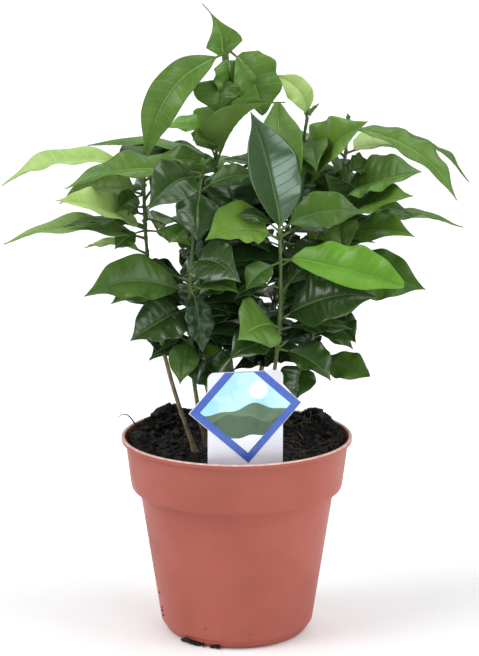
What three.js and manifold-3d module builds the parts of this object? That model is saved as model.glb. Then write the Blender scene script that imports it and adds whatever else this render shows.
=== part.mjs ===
// A potted coffee plant: seven young plants grown together in a 12 cm nursery pot, with a plant label.
// Millimetres, +Z up, +X to the right and -Y to the front. The origin is under the middle of the pot.
import * as THREE from "three";
import { mergeVertices } from "three/addons/utils/BufferGeometryUtils.js";
import Module from "manifold-3d";

const wasm = await Module();
wasm.setup();

// Pieces that rest on each other keep this gap
const SEAT_GAP = 0.3;

const POT = {
  height: 104,
  rimRadius: 60,
  lipHeight: 2.6,
  collarTop: 57.9,
  collarFoot: 55.2,
  collarFootHeight: 79.5,
  shoulderDrop: 6.5,
  bodyTop: 50.2,
  bodyFoot: 39.8,
  footRingHeight: 4.6,
  baseRadius: 36.8,
  wall: 1.3,
  floor: 2,
  sides: 48,
  // The shoulder bends near its top, and small steps round the foot ring and the lip
  shoulderBulge: 1,
  shoulderBend: 5,
  crease: 0.4,
  creaseHeight: 0.6,
  lipStep: 0.4,
  lipRound: 0.9,
};

const DRAIN = { count: 6, radius: 4, circle: 25, sides: 12 };

const SOIL = {
  level: 97,
  foot: 2.3,
  rings: [18, 30, 40, 47, 52],
  sides: 32,
  // Heaps against the wall: where they lie, how high they rise and how wide they are
  heaps: [
    { x: -38, y: 36, rise: 6.5, wide: 13 },
    { x: 40, y: 27, rise: 6.5, wide: 14 },
    { x: -49, y: -8, rise: 3, wide: 12 },
  ],
  // Between two radii it also climbs towards the wall: not at the front, and fully from the middle back
  climb: { rise: 4.5, from: 40, to: 56, front: -34, back: 4 },
};

const LABEL = {
  x: 4.3,
  y: -48,
  yaw: 12,
  width: 38,
  top: 148.5,
  foot: 81.5,
  corner: 3.5,
  thick: 0.6,
  diamondHeight: 130,
  diamondReach: 28.5,
  diamondTilt: 3,
};

const STEM = { footRadius: 1.45, topRadius: 0.8, flare: 1, flareHeight: 4, sides: 7, ringStep: 11, bud: 3 };

const LEAF = {
  stalk: 6,
  stalkHalf: 0.8,
  stalkThick: 1.5,
  thickShare: 0.012,
  leastThick: 0.85,
  thinning: 0.45,
  fold: 14,
  // The outline is u^base * (1 - u)^tip for [base, tip]: full below the middle, with a drawn-out tip
  shape: [0.9, 1.15],
  stations: [0, 0.1, 0.25, 0.45, 0.65, 0.82, 0.93],
  fillStations: [0, 0.14, 0.4, 0.68, 0.9],
  // From this share of its length on, a blade is wide enough to need room of its own
  blade: 0.2,
};

// Every seedling: its curve from the soil, the height where bare stem ends and foliage begins, and the
// leaves that make the crown's outline. A leaf has its height on the stem, its reach from there to its
// tip, its width, how far it arches, the roll in degrees that turns its face to the front, and at times
// a shape or a fold of its own.
const SEEDLINGS = [
  {
    name: "left",
    foot: [-21, -12],
    bend: [-49, -4, 168],
    top: [-47, 4, 241],
    bareTo: 192,
    spin: 20,
    leaves: [
      { at: 240, reach: [-74, 14, -9], wide: 18, arch: 11, roll: 28, shape: [1.3, 1.1] },
      { at: 229, reach: [-46, 14, -5], wide: 24, arch: 5, roll: 36, shape: [0.6, 1.3] },
      { at: 213, reach: [-41, -44, 19], wide: 22, arch: 2, roll: 42, shape: [0.6, 1.1] },
      { at: 207, reach: [-71, -16, 1], wide: 20, arch: 6, roll: 22, shape: [0.7, 1.2] },
      { at: 199, reach: [-34, 20, 0], wide: 18, arch: 4, roll: 0 },
    ],
  },
  {
    name: "left_front",
    foot: [-15, -5],
    bend: [-31, -24, 160],
    top: [-17, -14, 243],
    bareTo: 133,
    spin: 70,
    leaves: [
      { at: 242, reach: [-70, 4, -6], wide: 23, arch: 5, roll: 25 },
      { at: 240, reach: [-24, -41, -10], wide: 25, arch: 5, roll: 40 },
      { at: 236, reach: [-1, -20, -25], wide: 24, arch: 3, roll: 20 },
      { at: 197, reach: [23, -43, -1], wide: 27, arch: 5, roll: 45 },
      { at: 182, reach: [-52, -18, 3], wide: 27, arch: 5, roll: 50 },
      { at: 182, reach: [24, -38, 7], wide: 22, arch: 5, roll: 20 },
      { at: 174, reach: [-29, -22, -12], wide: 27, arch: 2, roll: 42, shape: [0.45, 1] },
      { at: 186, reach: [6, -15, -31], wide: 16, arch: 3, roll: -10, shape: [0.6, 0.8] },
      { at: 160, reach: [-5, -19, -21], wide: 16, arch: 3, roll: 20 },
      { at: 146, reach: [17, -22, -10], wide: 24, arch: 4, roll: 30 },
      { at: 152, reach: [3, -17, -12], wide: 15, arch: 2, roll: 30 },
      { at: 216, reach: [-13, -10, -7], wide: 11, arch: 2, roll: 40 },
    ],
  },
  {
    name: "tall",
    foot: [8, 4],
    bend: [-22, 6, 190],
    top: [-5, 12, 302],
    bareTo: 140,
    spin: 45,
    leaves: [
      { at: 292, reach: [-11, 6, 33], wide: 20, arch: 3, roll: 48, shape: [0.8, 3.7] },
      { at: 300, reach: [-39, -24, -50], wide: 20, arch: 10, roll: 55, shape: [0.7, 0.7] },
      { at: 302, reach: [18, 2, -34], wide: 29, arch: 5, roll: 60, shape: [0.5, 0.7] },
      { at: 291, reach: [-3, -12, -20], wide: 25, arch: 2, roll: 0, shape: [0.6, 0.8] },
      { at: 244, reach: [33, -44, 36], wide: 42, arch: 9, roll: 30, shape: [0.3, 2.2], fold: 57 },
      { at: 246, reach: [-68, 32, 4], wide: 16, arch: 4, roll: 5 },
      { at: 243, reach: [12, -29, -24], wide: 29, arch: 5, roll: 10 },
      { at: 234, reach: [-7, -19, -26], wide: 23, arch: 4, roll: 20 },
      { at: 149, reach: [-11, -25, -7], wide: 17, arch: 2, roll: 45 },
      { at: 200, reach: [12, -17, -8], wide: 12, arch: 2, roll: 45 },
      { at: 160, reach: [15, -20, -14], wide: 24, arch: 3, roll: 30 },
      { at: 260, reach: [-27, 10, 2], wide: 12, arch: 2, roll: 45 },
    ],
  },
  {
    name: "front",
    foot: [9, -16],
    bend: [25, -36, 150],
    top: [21, -28, 216],
    bareTo: 150,
    spin: 0,
    leaves: [
      { at: 211, reach: [-14, 18, 62], wide: 33, arch: 5, roll: 10, fold: 22 },
      { at: 211, reach: [-37, -12, 3], wide: 34, arch: 5, roll: 35 },
      { at: 201, reach: [59, -26, -9], wide: 24, arch: 4, roll: 45, shape: [0.6, 0.5] },
      { at: 200, reach: [-17, -16, -11], wide: 14, arch: 2, roll: 30 },
      { at: 171, reach: [47, -15, 15], wide: 34, arch: 4, roll: 50 },
      { at: 167, reach: [-20, -30, 0], wide: 29, arch: 4, roll: 45 },
      { at: 159, reach: [-24, -16, -4], wide: 22, arch: 3, roll: 25 },
      { at: 156, reach: [27, -12, -13], wide: 23, arch: 3, roll: 30 },
      { at: 213, reach: [0, 40, 65], wide: 22, arch: 3, roll: 10, shape: [0.7, 0.6] },
    ],
  },
  {
    name: "right",
    foot: [17, -2],
    bend: [46, 4, 150],
    top: [57, 14, 262],
    bareTo: 136,
    spin: 10,
    leaves: [
      { at: 261, reach: [68, 28, -28], wide: 17, arch: 8, roll: 12 },
      { at: 262, reach: [56, -13, -35], wide: 18, arch: 7, roll: 24 },
      { at: 249, reach: [38, 34, -4], wide: 24, arch: 4, roll: 10 },
      { at: 227, reach: [39, -24, 16], wide: 35, arch: 2, roll: 30, shape: [0.4, 0.95] },
      { at: 222, reach: [-13, -10, -20], wide: 20, arch: 3, roll: 40, shape: [0.6, 1] },
      { at: 214, reach: [36, -35, 18], wide: 24, arch: 4, roll: 32 },
      { at: 216, reach: [42, 5, 1], wide: 18, arch: 4, roll: 15 },
      { at: 210, reach: [70, 25, 1], wide: 16, arch: 4, roll: 5 },
      { at: 203, reach: [39, -29, 9], wide: 21, arch: 4, roll: 35 },
      { at: 188, reach: [49, -17, -5], wide: 29, arch: 2, roll: 55 },
      { at: 161, reach: [19, -30, -2], wide: 22, arch: 3, roll: 20 },
      { at: 144, reach: [31, -24, -3], wide: 18, arch: 1, roll: 45, shape: [1.4, 0.8] },
      { at: 148, reach: [-23, -29, -2], wide: 25, arch: 4, roll: 20 },
      { at: 143, reach: [-5, -18, -17], wide: 20, arch: 3, roll: 20 },
      { at: 214, reach: [-6, -10, 26], wide: 26, arch: 1, roll: 0, shape: [0.5, 0.8] },
    ],
  },
  {
    name: "right_back",
    foot: [6, 16],
    bend: [22, 26, 180],
    top: [36, 24, 264],
    bareTo: 142,
    spin: 35,
    leaves: [
      { at: 228, reach: [33, -32, 40], wide: 33, arch: 3, roll: 60, shape: [0.6, 1] },
      { at: 261, reach: [-17, -4, 27], wide: 14, arch: 7, roll: 70 },
      { at: 264, reach: [6, -6, 10], wide: 5, arch: 1, roll: 0 },
      { at: 251, reach: [16, 66, -18], wide: 25, arch: 11, roll: 0 },
      { at: 222, reach: [6, 72, -4], wide: 26, arch: 8, roll: 0 },
      { at: 204, reach: [42, 56, -4], wide: 26, arch: 7, roll: 0 },
      { at: 222, reach: [22, -24, -7], wide: 30, arch: 4, roll: 30 },
      { at: 190, reach: [-14, -38, -2], wide: 30, arch: 4, roll: 30 },
      { at: 164, reach: [-8, -36, -4], wide: 28, arch: 4, roll: 30 },
    ],
  },
  {
    name: "left_back",
    foot: [-10, 20],
    bend: [-28, 40, 165],
    top: [-26, 52, 240],
    bareTo: 142,
    spin: 15,
    leaves: [
      { at: 237, reach: [-6, 60, -18], wide: 25, arch: 9, roll: 0 },
      { at: 222, reach: [42, 44, -8], wide: 26, arch: 6, roll: 0 },
      { at: 203, reach: [-18, 60, -8], wide: 26, arch: 7, roll: 0 },
      { at: 180, reach: [30, 54, -6], wide: 25, arch: 6, roll: 0 },
      { at: 174, reach: [-50, 38, -6], wide: 25, arch: 6, roll: 0 },
      { at: 178, reach: [-42, -20, -8], wide: 24, arch: 4, roll: 40 },
    ],
  },
];

// A leaf of the outline that would touch another leans this far to the front or the back, where it is clear
const LEANS = [0, -4, 4, -8, 8, -12, 12, -16, 16];

// Leaves that fill the crown behind those of the outline: a pair at every step up each stem, each pair
// turned a right angle from the one below, kept where it stays inside the crown and clear of the rest
const FILL = {
  seed: 4127,
  firstStep: 6,
  step: 7,
  quarterTurn: 90,
  turnSpread: 36,
  tries: 12,
  long: [34, 62],
  wideShare: [0.38, 0.48],
  rise: [-20, 24],
  arch: [0.06, 0.14],
  roll: [5, 45],
  clear: 1,
  ownClear: 0.4,
  front: -18,
};

// As seen from the eye point, filling leaves stay inside this ellipse and out of the gaps where sky shows
const EYE = { away: 950, height: 358 };
const CROWN = { x: 0, z: 200, wide: 94, high: 64, back: 112, samples: [0.35, 0.5, 0.65, 0.8, 1] };
const SKY_GAPS = [
  { x: -54, z: 203, r: 9 },
  { x: -34, z: 200, r: 8 },
  { x: -45, z: 231, r: 5 },
  { x: -34, z: 219, r: 7 },
  { x: 1, z: 259, r: 9 },
  { x: -20, z: 281, r: 12 },
  { x: 30, z: 271, r: 7 },
  { x: 68, z: 162, r: 9 },
];

const FINISH = {
  pot: { color: "#b5634f", roughness: 0.5, metalness: 0 },
  soil: { color: "#231a15", roughness: 1, metalness: 0 },
  label: { color: "#dfe9f7", roughness: 0.35, metalness: 0 },
  stem: { color: "#7d7444", roughness: 0.7, metalness: 0 },
  foliage: { color: "#4c8530", roughness: 0.4, metalness: 0 },
};

const up = new THREE.Vector3(0, 0, 1);
const plant = new THREE.Group();
plant.name = "potted_coffee_plant";

function solidFrom(geometry) {
  const bare = geometry.clone();
  bare.deleteAttribute("normal");
  bare.deleteAttribute("uv");
  const merged = mergeVertices(bare, 1e-4);
  return new wasm.Manifold(
    new wasm.Mesh({
      numProp: 3,
      vertProperties: merged.attributes.position.array,
      triVerts: new Uint32Array(merged.index.array),
    }),
  );
}

function geometryFrom(solid) {
  const mesh = solid.getMesh();
  const geometry = new THREE.BufferGeometry();
  geometry.setAttribute("position", new THREE.BufferAttribute(mesh.vertProperties, 3));
  geometry.setIndex(new THREE.BufferAttribute(mesh.triVerts, 1));
  return geometry;
}

function addPiece(group, name, solid, finish) {
  const piece = new THREE.Mesh(geometryFrom(solid), new THREE.MeshStandardMaterial(FINISH[finish]));
  piece.name = name;
  group.add(piece);
  return piece;
}

// A skin over rings of equal point counts, closed by a fan at each end. An end given as one point is a tip.
function loftOver(rings) {
  const points = rings.flat();
  const faces = [];
  let start = 0;
  for (let i = 0; i + 1 < rings.length; i++) {
    const next = start + rings[i].length;
    const sides = rings[i].length;
    for (let k = 0; k < sides; k++) {
      const after = (k + 1) % sides;
      if (rings[i + 1].length === 1) {
        faces.push(start + k, start + after, next);
      } else {
        faces.push(start + k, start + after, next + after);
        faces.push(start + k, next + after, next + k);
      }
    }
    start = next;
  }
  for (let k = 1; k + 1 < rings[0].length; k++) faces.push(0, k + 1, k);
  for (let k = 1; k + 1 < rings.at(-1).length; k++) faces.push(start, start + k, start + k + 1);
  const geometry = new THREE.BufferGeometry().setFromPoints(points);
  geometry.setIndex(faces);
  return solidFrom(geometry);
}

// The pot: a plain tapered body, a rounded shoulder, a deep collar and a rolled lip, with drain holes
function potInnerRadius(z) {
  const shoulderFoot = POT.collarFootHeight - POT.shoulderDrop;
  const at = THREE.MathUtils.mapLinear;
  if (z >= POT.collarFootHeight)
    return at(z, POT.collarFootHeight, POT.height, POT.collarFoot, POT.collarTop) - POT.wall;
  if (z >= shoulderFoot)
    return at(z, shoulderFoot, POT.collarFootHeight, POT.bodyTop, POT.collarFoot) - POT.wall;
  return at(z, POT.footRingHeight, shoulderFoot, POT.bodyFoot, POT.bodyTop) - POT.wall;
}

function makePot() {
  const shoulderFoot = POT.collarFootHeight - POT.shoulderDrop;
  const lipFoot = POT.height - POT.lipHeight;
  const shoulder = new THREE.QuadraticBezierCurve(
    new THREE.Vector2(POT.bodyTop, shoulderFoot),
    new THREE.Vector2(POT.bodyTop + POT.shoulderBulge, shoulderFoot + POT.shoulderBend),
    new THREE.Vector2(POT.collarFoot, POT.collarFootHeight),
  );
  const profile = [
    new THREE.Vector2(0, 0),
    new THREE.Vector2(POT.baseRadius, 0),
    new THREE.Vector2(POT.bodyFoot - POT.crease, POT.footRingHeight - POT.creaseHeight),
    new THREE.Vector2(POT.bodyFoot, POT.footRingHeight),
    ...shoulder.getPoints(3),
    new THREE.Vector2(POT.collarTop, lipFoot),
    new THREE.Vector2(POT.rimRadius - POT.lipStep, lipFoot + POT.lipStep),
    new THREE.Vector2(POT.rimRadius, POT.height - POT.lipRound),
    new THREE.Vector2(POT.rimRadius - POT.lipRound, POT.height),
    new THREE.Vector2(potInnerRadius(POT.height), POT.height - POT.lipStep),
    new THREE.Vector2(potInnerRadius(POT.collarFootHeight), POT.collarFootHeight),
    new THREE.Vector2(potInnerRadius(shoulderFoot), shoulderFoot),
    new THREE.Vector2(potInnerRadius(POT.floor), POT.floor),
    new THREE.Vector2(0, POT.floor),
  ];
  let pot = solidFrom(new THREE.LatheGeometry(profile, POT.sides).rotateX(Math.PI / 2));
  for (let i = 0; i < DRAIN.count; i++) {
    const hole = new THREE.CylinderGeometry(DRAIN.radius, DRAIN.radius, 3 * POT.floor, DRAIN.sides);
    const turn = (2 * Math.PI * (i + 0.5)) / DRAIN.count;
    hole.rotateX(Math.PI / 2);
    hole.translate(DRAIN.circle * Math.cos(turn), DRAIN.circle * Math.sin(turn), 0);
    pot = pot.subtract(solidFrom(hole));
  }
  addPiece(plant, "pot", pot, "pot");
}

// The soil fills the pot, level where the stems stand and heaped against the wall
function soilHeight(x, y) {
  let height = SOIL.level;
  for (const heap of SOIL.heaps) {
    const away = Math.hypot(x - heap.x, y - heap.y) / heap.wide;
    height += heap.rise * Math.exp(-away * away);
  }
  const { rise, from, to, front, back } = SOIL.climb;
  const near = THREE.MathUtils.smoothstep(Math.hypot(x, y), from, to);
  return height + rise * near * THREE.MathUtils.smoothstep(y, front, back);
}

function makeSoil() {
  const shoulderFoot = POT.collarFootHeight - POT.shoulderDrop;
  const wallAt = (z) => new THREE.Vector2(potInnerRadius(z) - SEAT_GAP, z);
  const profile = [
    new THREE.Vector2(0, SOIL.foot),
    wallAt(SOIL.foot),
    wallAt(shoulderFoot),
    wallAt(POT.collarFootHeight),
    wallAt(SOIL.level),
    ...SOIL.rings.toReversed().map((r) => new THREE.Vector2(r, SOIL.level)),
    new THREE.Vector2(0, SOIL.level),
  ];
  const geometry = new THREE.LatheGeometry(profile, SOIL.sides).rotateX(Math.PI / 2);
  const places = geometry.attributes.position;
  for (let i = 0; i < places.count; i++) {
    if (places.getZ(i) > SOIL.level - SEAT_GAP) places.setZ(i, soilHeight(places.getX(i), places.getY(i)));
  }
  addPiece(plant, "soil", solidFrom(geometry).subtract(labelSlot()), "soil");
}

// The label: a rounded card stuck in the soil, with a diamond panel that stands out past its sides
function labelOutline(grow) {
  const half = LABEL.width / 2 + grow;
  const rise = LABEL.top - LABEL.foot;
  const card = new THREE.Shape();
  card.moveTo(-half, -grow);
  card.lineTo(half, -grow);
  card.lineTo(half, rise - LABEL.corner);
  card.absarc(half - LABEL.corner, rise - LABEL.corner, LABEL.corner, 0, Math.PI / 2);
  card.lineTo(LABEL.corner - half, rise);
  card.absarc(LABEL.corner - half, rise - LABEL.corner, LABEL.corner, Math.PI / 2, Math.PI);
  return card;
}

function labelDiamond() {
  const middle = LABEL.diamondHeight - LABEL.foot;
  const tilt = THREE.MathUtils.degToRad(LABEL.diamondTilt);
  const corners = [0, 1, 2, 3].map((k) => {
    const turn = (k * Math.PI) / 2 + tilt;
    return new THREE.Vector2(
      LABEL.diamondReach * Math.cos(turn),
      middle + LABEL.diamondReach * Math.sin(turn),
    );
  });
  return new THREE.Shape(corners);
}

function extrudeUpright(shape, thick) {
  const plate = new THREE.ExtrudeGeometry(shape, { depth: thick, bevelEnabled: false, curveSegments: 5 });
  plate.translate(0, 0, -thick / 2);
  plate.rotateX(Math.PI / 2);
  return plate;
}

function labelSlot() {
  const slot = extrudeUpright(labelOutline(SEAT_GAP), LABEL.thick + 2 * SEAT_GAP);
  slot.rotateZ(THREE.MathUtils.degToRad(LABEL.yaw));
  slot.translate(LABEL.x, LABEL.y, LABEL.foot);
  return solidFrom(slot);
}

function makeLabel() {
  const card = solidFrom(extrudeUpright(labelOutline(0), LABEL.thick));
  const topLine = new THREE.Shape();
  const rise = LABEL.top - LABEL.foot;
  const reach = 2 * LABEL.diamondReach;
  topLine.moveTo(-reach, rise);
  topLine.lineTo(reach, rise);
  topLine.lineTo(reach, rise + reach);
  topLine.lineTo(-reach, rise + reach);
  const above = solidFrom(extrudeUpright(topLine, 2 * LABEL.thick));
  const diamond = solidFrom(extrudeUpright(labelDiamond(), LABEL.thick)).subtract(above);
  const label = addPiece(plant, "plant_label", card.add(diamond), "label");
  label.position.set(LABEL.x, LABEL.y, LABEL.foot);
  label.rotation.z = THREE.MathUtils.degToRad(LABEL.yaw);
}

// Stems follow a curve from the soil and are cut level, so that a stem meets the soil and its foliage flat
function stemPoint(seedling, z) {
  const start = SOIL.level + SEAT_GAP;
  const first = seedling.bend[2] - start;
  const second = start - 2 * seedling.bend[2] + seedling.top[2];
  const climb = z - start;
  const t = climb / (first + Math.sqrt(Math.max(0, first * first + second * climb)));
  const mix = (a, b, c) => a * (1 - t) * (1 - t) + 2 * b * t * (1 - t) + c * t * t;
  return new THREE.Vector3(
    mix(seedling.foot[0], seedling.bend[0], seedling.top[0]),
    mix(seedling.foot[1], seedling.bend[1], seedling.top[1]),
    z,
  );
}

function stemRadius(seedling, z) {
  const climb = z - SOIL.level - SEAT_GAP;
  const share = climb / (seedling.top[2] - SOIL.level);
  const taper = THREE.MathUtils.lerp(STEM.footRadius, STEM.topRadius, Math.min(1, share));
  return taper + STEM.flare * Math.exp(-climb / STEM.flareHeight);
}

function stemBetween(seedling, low, high) {
  const steps = Math.max(2, Math.round((high - low) / STEM.ringStep));
  const rings = [];
  for (let i = 0; i <= steps; i++) {
    const z = THREE.MathUtils.lerp(low, high, i / steps);
    const middle = stemPoint(seedling, z);
    const radius = stemRadius(seedling, z);
    const ring = [];
    for (let k = 0; k < STEM.sides; k++) {
      const turn = (2 * Math.PI * k) / STEM.sides;
      ring.push(new THREE.Vector3(radius * Math.cos(turn), radius * Math.sin(turn), 0).add(middle));
    }
    rings.push(ring);
  }
  return loftOver(rings);
}

// A leaf's midrib runs from the stem's middle to its tip, and arches up from the straight line between
function leafCourse(root, leaf) {
  const reach = new THREE.Vector3(...leaf.reach);
  const long = reach.length();
  const along = reach.clone().normalize();
  const lift = up.clone().addScaledVector(along, -along.z).normalize();
  const front = along.clone().cross(lift);
  if (front.y > 0) front.negate();
  const roll = THREE.MathUtils.degToRad(leaf.roll);
  const face = lift.clone().multiplyScalar(Math.cos(roll)).addScaledVector(front, Math.sin(roll));
  const pointAt = (t) =>
    root.clone().addScaledVector(reach, t).addScaledVector(lift, leaf.arch * 4 * t * (1 - t));
  const frameAt = (t) => {
    const run = reach.clone().addScaledVector(lift, leaf.arch * 4 * (1 - 2 * t)).normalize();
    const side = run.clone().cross(face).normalize();
    return { side, out: side.clone().cross(run) };
  };
  const fold = THREE.MathUtils.degToRad(leaf.fold ?? LEAF.fold);
  return { long, fold, pointAt, frameAt };
}

function leafWidthAt(leaf, u) {
  const [base, tip] = leaf.shape ?? LEAF.shape;
  const outline = (v) => v ** base * (1 - v) ** tip;
  return outline(u) / outline(base / (base + tip));
}

// Across, a leaf is a flat lens folded up a little along its midrib: edge, under side, edge, upper side
function leafSection(course, t, half, thick) {
  const middle = course.pointAt(t);
  const { side, out } = course.frameAt(t);
  const spot = (across, above) => middle.clone().addScaledVector(side, across).addScaledVector(out, above);
  const across = half * Math.cos(course.fold);
  const above = half * Math.sin(course.fold);
  return [spot(across, above), spot(0, -thick / 2), spot(-across, above), spot(0, thick / 2)];
}

function leafSolid(root, leaf, stations) {
  const course = leafCourse(root, leaf);
  const stalkEnd = LEAF.stalk / course.long;
  const thick = Math.max(LEAF.leastThick, LEAF.thickShare * course.long);
  const sections = stations[0] === 0 ? [leafSection(course, 0, LEAF.stalkHalf, LEAF.stalkThick)] : [];
  for (const u of stations) {
    const half = Math.max(LEAF.stalkHalf, (leaf.wide / 2) * leafWidthAt(leaf, u));
    sections.push(leafSection(course, stalkEnd + (1 - stalkEnd) * u, half, thick * (1 - LEAF.thinning * u)));
  }
  sections.push([course.pointAt(1)]);
  return loftOver(sections);
}

// Seeded draws, so that the filling leaves come out the same each time
function seededDraws(seed) {
  let state = seed >>> 0;
  return () => {
    state = (state + 0x6d2b79f5) >>> 0;
    let mixed = Math.imul(state ^ (state >>> 15), 1 | state);
    mixed = (mixed + Math.imul(mixed ^ (mixed >>> 7), 61 | mixed)) ^ mixed;
    return ((mixed ^ (mixed >>> 14)) >>> 0) / 4294967296;
  };
}

function insideCrown(root, leaf) {
  const course = leafCourse(root, leaf);
  for (const t of CROWN.samples) {
    const spot = course.pointAt(t);
    if (spot.y > CROWN.back) return false;
    const nearer = EYE.away / (EYE.away + spot.y);
    const x = spot.x * nearer;
    const z = EYE.height + (spot.z - EYE.height) * nearer;
    if (((x - CROWN.x) / CROWN.wide) ** 2 + ((z - CROWN.z) / CROWN.high) ** 2 > 1) return false;
    const reach = (leaf.wide / 4) * Math.sin(Math.PI * t);
    if (SKY_GAPS.some((gap) => Math.hypot(x - gap.x, z - gap.z) < gap.r + reach)) return false;
  }
  return course.pointAt(1).y > FILL.front;
}

// Blades keep clear of every other leaf and stem, and stalks of every other seedling
function isClear(part, placed) {
  return placed.every((other) => {
    if (other.seedling !== part.seedling) return part.whole.minGap(other.whole, FILL.clear) >= FILL.clear;
    return part.blade.minGap(other.blade, FILL.ownClear) >= FILL.ownClear;
  });
}

function leafPart(seedling, leaf, stations) {
  const root = stemPoint(seedling, leaf.at);
  const whole = leafSolid(root, leaf, stations);
  const blade = leafSolid(root, leaf, stations.filter((u) => u > LEAF.blade));
  return { seedling, whole, blade, inMass: true };
}

function fillTries(at, side, draw) {
  const between = ([low, high]) => THREE.MathUtils.lerp(low, high, draw());
  const tries = [];
  for (let i = 0; i < FILL.tries; i++) {
    const turn = THREE.MathUtils.degToRad(side + (2 * draw() - 1) * FILL.turnSpread);
    const rise = THREE.MathUtils.degToRad(between(FILL.rise));
    const long = between(FILL.long);
    tries.push({
      at,
      reach: [
        long * Math.cos(rise) * Math.cos(turn),
        long * Math.cos(rise) * Math.sin(turn),
        long * Math.sin(rise),
      ],
      wide: long * between(FILL.wideShare),
      arch: long * between(FILL.arch),
      roll: between(FILL.roll),
    });
  }
  return tries;
}

// Of several tries at one leaf, the first that keeps clear of all that has grown
function growFirstClear(seedling, tries, stations, placed) {
  for (const leaf of tries) {
    const part = leafPart(seedling, leaf, stations);
    if (!isClear(part, placed)) continue;
    placed.push(part);
    return;
  }
}

function leanTries(leaf) {
  const [x, y, z] = leaf.reach;
  return LEANS.map((lean) => ({ ...leaf, reach: [x, y + lean, z] }));
}

function growSeedlings() {
  const placed = [];
  const groups = new Map();
  for (const seedling of SEEDLINGS) {
    const group = new THREE.Group();
    const bare = stemBetween(seedling, SOIL.level + SEAT_GAP, seedling.bareTo);
    const upper = stemBetween(seedling, seedling.bareTo + SEAT_GAP, seedling.top[2] + STEM.bud);
    addPiece(group, "stem_" + seedling.name, bare, "stem");
    plant.add(group);
    groups.set(seedling, group);
    placed.push({ seedling, whole: bare, blade: bare, inMass: false });
    placed.push({ seedling, whole: upper, blade: upper, inMass: true });
  }
  for (const seedling of SEEDLINGS) {
    for (const leaf of seedling.leaves) growFirstClear(seedling, leanTries(leaf), LEAF.stations, placed);
  }
  const draw = seededDraws(FILL.seed);
  for (const seedling of SEEDLINGS) {
    let side = seedling.spin;
    for (let at = seedling.bareTo + FILL.firstStep; at < seedling.top[2]; at += FILL.step) {
      const root = stemPoint(seedling, at);
      for (const half of [0, 180]) {
        const tries = fillTries(at, side + half, draw).filter((leaf) => insideCrown(root, leaf));
        growFirstClear(seedling, tries, LEAF.fillStations, placed);
      }
      side += FILL.quarterTurn;
    }
  }
  for (const seedling of SEEDLINGS) {
    const own = placed.filter((part) => part.inMass && part.seedling === seedling);
    const mass = wasm.Manifold.union(own.map((part) => part.whole));
    addPiece(groups.get(seedling), "foliage_" + seedling.name, mass, "foliage");
  }
}

makePot();
makeSoil();
makeLabel();
growSeedlings();

export default plant;
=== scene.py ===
import math
import bmesh
import bpy
import numpy as np
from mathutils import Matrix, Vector, kdtree, noise


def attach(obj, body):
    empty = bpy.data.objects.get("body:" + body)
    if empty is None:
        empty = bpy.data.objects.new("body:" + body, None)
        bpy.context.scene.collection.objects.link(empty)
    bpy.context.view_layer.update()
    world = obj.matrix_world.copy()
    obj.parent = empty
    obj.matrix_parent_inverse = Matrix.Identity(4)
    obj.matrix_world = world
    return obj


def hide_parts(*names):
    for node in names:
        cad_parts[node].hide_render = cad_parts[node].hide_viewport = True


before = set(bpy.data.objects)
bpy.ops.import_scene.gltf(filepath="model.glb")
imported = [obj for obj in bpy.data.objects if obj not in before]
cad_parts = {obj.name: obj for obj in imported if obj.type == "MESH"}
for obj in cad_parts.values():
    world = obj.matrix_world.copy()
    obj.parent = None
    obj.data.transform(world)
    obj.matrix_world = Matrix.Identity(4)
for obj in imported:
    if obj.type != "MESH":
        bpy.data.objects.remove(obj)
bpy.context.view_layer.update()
scene = bpy.context.scene
mm = 0.001
seatGap = 0.3  # pieces of the model that rest on each other keep this gap
fullTurn = 2 * math.pi
tiny = 1e-6  # keeps lengths of nothing out of divisions
print("frame loaded with", len(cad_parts), "nodes")


# seeded draws, the same ones that dealt out the leaves of the solids
def seededDraws(seed):
    state, word = seed, 0xFFFFFFFF  # all the bits of a 32-bit word

    def draw():
        nonlocal state
        state = (state + 0x6D2B79F5) & word
        mixed = (state ^ (state >> 15)) * (1 | state) & word
        mixed = ((mixed + (mixed ^ (mixed >> 7)) * (61 | mixed)) ^ mixed) & word
        return (mixed ^ (mixed >> 14)) / (word + 1)

    return draw


def between(draw, span):
    return span[0] + (span[1] - span[0]) * draw()


def smooth(low, high, x):
    x = np.clip((x - low) / (high - low), 0, 1)
    return x * x * (3 - 2 * x)


def unit(v):
    return v / np.linalg.norm(v, axis=-1, keepdims=True)


# a skin collects points in mm, faces and their material slots until it becomes one joined piece
def newSkin():
    return {"points": [], "faces": [], "slots": [], "count": 0}


def addTo(skin, points, faces, slots):
    faces = np.asarray(faces)
    skin["points"].append(np.asarray(points, float).reshape(-1, 3))
    skin["faces"].append(faces + skin["count"])
    skin["slots"].append(np.broadcast_to(slots, len(faces)))
    skin["count"] += len(skin["points"][-1])


def addObject(name, data):
    made = bpy.data.objects.new(name, data)
    scene.collection.objects.link(made)
    return made


# a mesh becomes a piece that rides on the one body and may stand for nodes of the model
def placePiece(name, mesh, finishes, stands):
    for finish in finishes:
        mesh.materials.append(finish)
    piece = addObject(name, mesh)
    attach(piece, "root")
    if stands:
        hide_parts(*stands)
    return piece


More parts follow.
